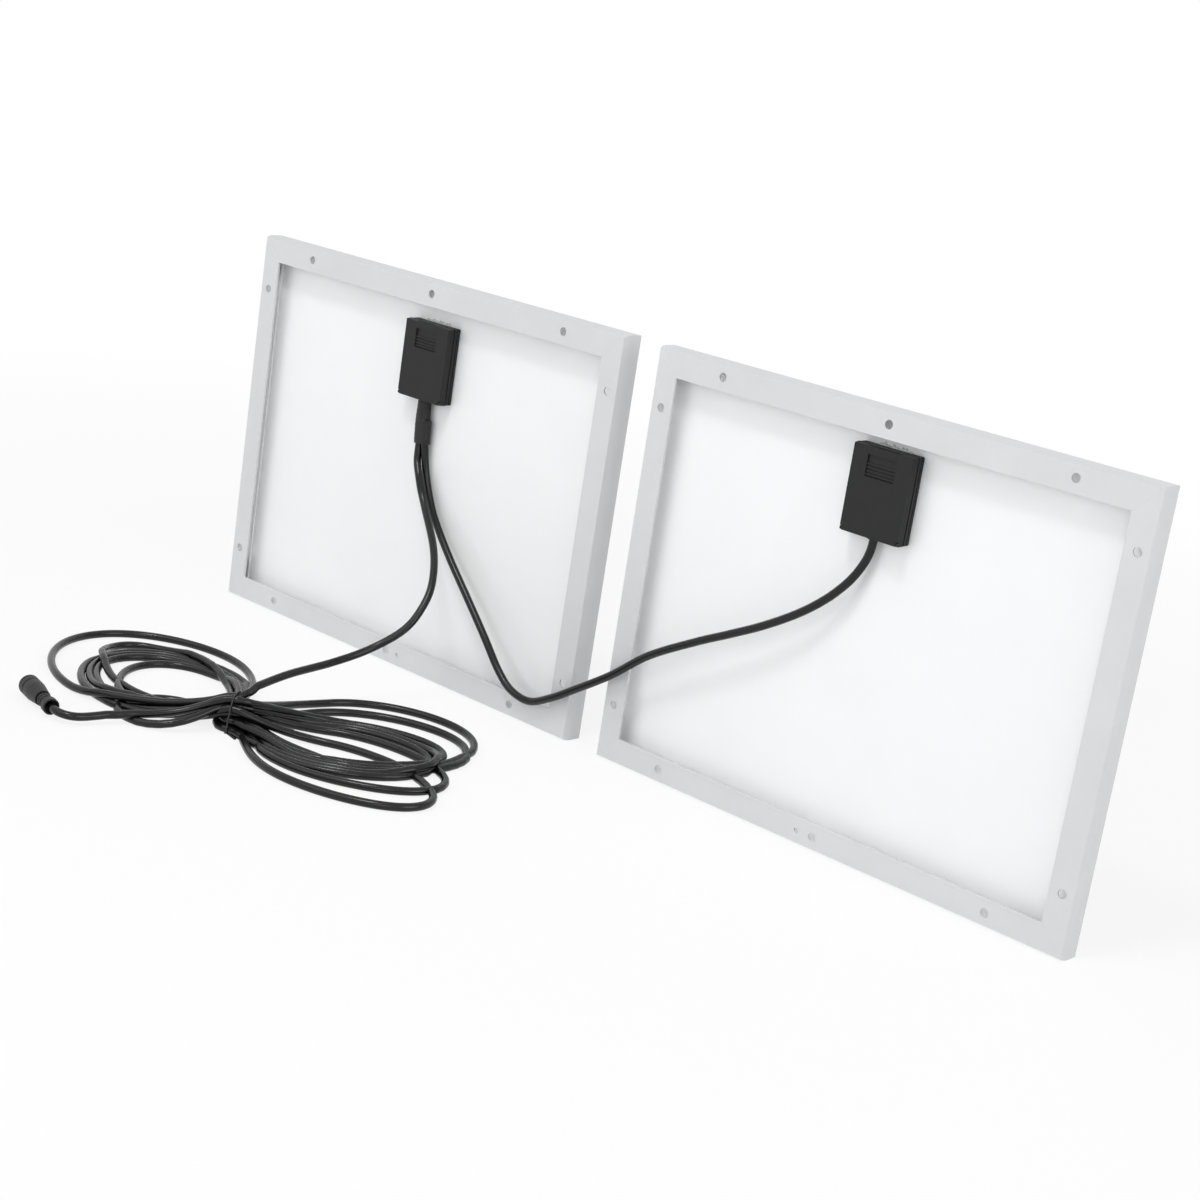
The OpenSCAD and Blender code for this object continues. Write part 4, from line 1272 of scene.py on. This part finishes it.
@dataclass
class JunctionBox:
    """One junction box: base, hinged lid, inner pieces and the adhesive squeezed out above it."""

    side: Side
    edge_r: float = 0.18
    box_w: float = 42.0
    box_h: float = 52.5
    film_y: float = 3.2
    pad_t: float = 0.8
    pad_inset: float = 1.0
    bead_len: float = 26.0
    bead_h: float = 1.3
    bead_t: float = 1.5

    def build_case(self) -> None:
        """Rounds the edges of base and lid."""
        lid_body = Body.LEFT_LID if self.side is Side.LEFT else Body.RIGHT_LID
        for part, body in (("box_base", Body.PANEL_SET), ("box_lid", lid_body)):
            node = f"{self.side.value}_{part}"
            piece = dress(rounded_copy(node, self.edge_r), BOX_ABS)
            put_on(piece, body, "box_black", node)

    def dress_inside(self) -> None:
        """Finishes what is inside the box and round the lead."""
        cores = CoreFinish(f"core_pvc_{self.side.value}", "#1E1E1F", "#A3211E", 0.42, 0.08, 3.0, 0.5,
                           0.010, middle=self.side.middle_x * MM)
        for name, finish in (("seal", RUBBER), ("terminals", BRASS), ("screws", ZINC_STEEL),
                             ("diode", DIODE_EPOXY), ("tabs", RIBBON), ("wires", cores),
                             ("grommet", RUBBER)):
            dress_node(f"{self.side.value}_box_{name}", finish)

    def build_adhesive(self) -> None:
        """Lays the adhesive: a thin pad under the box, squeezed out unevenly above it.

        Each ring is a slice at one X, up along the film and back over the front. The slice ends
        below the box's top edge, except in the middle, where the squeezed part closes to both sides
        by a root and rises by three sines. There the front is a quarter of an ellipse.
        """
        bottom, phase = (LEFT_BOX_Z, 0.0) if self.side is Side.LEFT else (RIGHT_BOX_Z, 2.1)
        top = bottom + self.box_h
        x = np.linspace(-1.0, 1.0, 161)[:, None] * (self.box_w / 2 - self.pad_inset)
        closed = np.sqrt(np.clip(1 - (2 * x / self.bead_len) ** 8, 0.0, 1.0))
        wavy = (1 + 0.4 * np.sin(0.9 * x + phase) + 0.3 * np.sin(2.1 * x + 2 * phase)
                + 0.2 * np.sin(4 * x))
        edge = closed * (self.bead_h * wavy + self.pad_inset) - self.pad_inset
        t = np.linspace(0.0, 1.0, 25)[None, :]
        over = np.clip(edge, 0.0, None) * t
        below = np.minimum(edge, -0.02) - (self.box_h - 2 * self.pad_inset) * (1 - t[:, ::6])
        front = np.concatenate([below, over + np.minimum(edge, 0.0)], 1)
        swell = self.bead_t * np.sqrt(1 - t ** 2) * (edge > 0.0) + self.pad_t * (edge <= 0.0)
        thick = np.concatenate([self.pad_t + 0 * below, swell], 1)
        z = top + np.concatenate([front, front[:, ::-1]], 1)
        y = self.film_y - np.concatenate([thick, 0 * thick], 1)
        grid = np.stack([self.side.middle_x + x + 0 * y, y, z], -1)
        node = f"{self.side.value}_box_adhesive"
        piece = dress(shell_mesh(node + "_squeezed", [grid * MM]), SILICONE)
        put_on(piece, Body.PANEL_SET, "clear_silicone", node)

    def build(self) -> None:
        """Finishes the whole box."""
        self.build_case()
        self.dress_inside()
        self.build_adhesive()


@dataclass
class ScrewPlug:
    """The plug at the main lead's end: overmoulded body, screw ring, insert, contacts and seal."""

    edge_r: float = 0.25

    def build(self) -> list[bpy.types.Object]:
        """Rounds and finishes the plug's pieces.

        Returns:
            The pieces that go with the lead.
        """
        body = dress(rounded_copy("plug_body", self.edge_r, 0.1), OVERMOULD)
        put_on(body, Body.PANEL_SET, "plug_overmould", "plug_body")
        ring = dress(rounded_copy("coupling_nut", self.edge_r, 0.1), NYLON)
        put_on(ring, Body.NUT, "plug_nylon", "coupling_nut")
        return [body, ring, dress_node("plug_insert", INSERT), dress_node("plug_contacts", BRASS),
                dress_node("plug_seal", RUBBER)]


def main() -> None:
    """Builds the studio, the leads with the tie and the plug, then the panels and boxes."""
    logging.basicConfig(level=logging.INFO, format="%(message)s")
    studio = Studio()
    studio.set_camera()
    studio.lay_floor()
    studio.light()
    sleeve = SpliceSleeve()
    sleeve.build()
    JumperLead(sleeve).build()
    lead = MainLead(sleeve)
    cord = lead.build()
    TwistTie(lead).build()
    ScrewPlug().build()
    dress_node("stub_lead", LEAD_PVC)
    for side in Side:
        SolarPanel(side).build()
        JunctionBox(side).build()


if __name__ == "__main__":
    main()
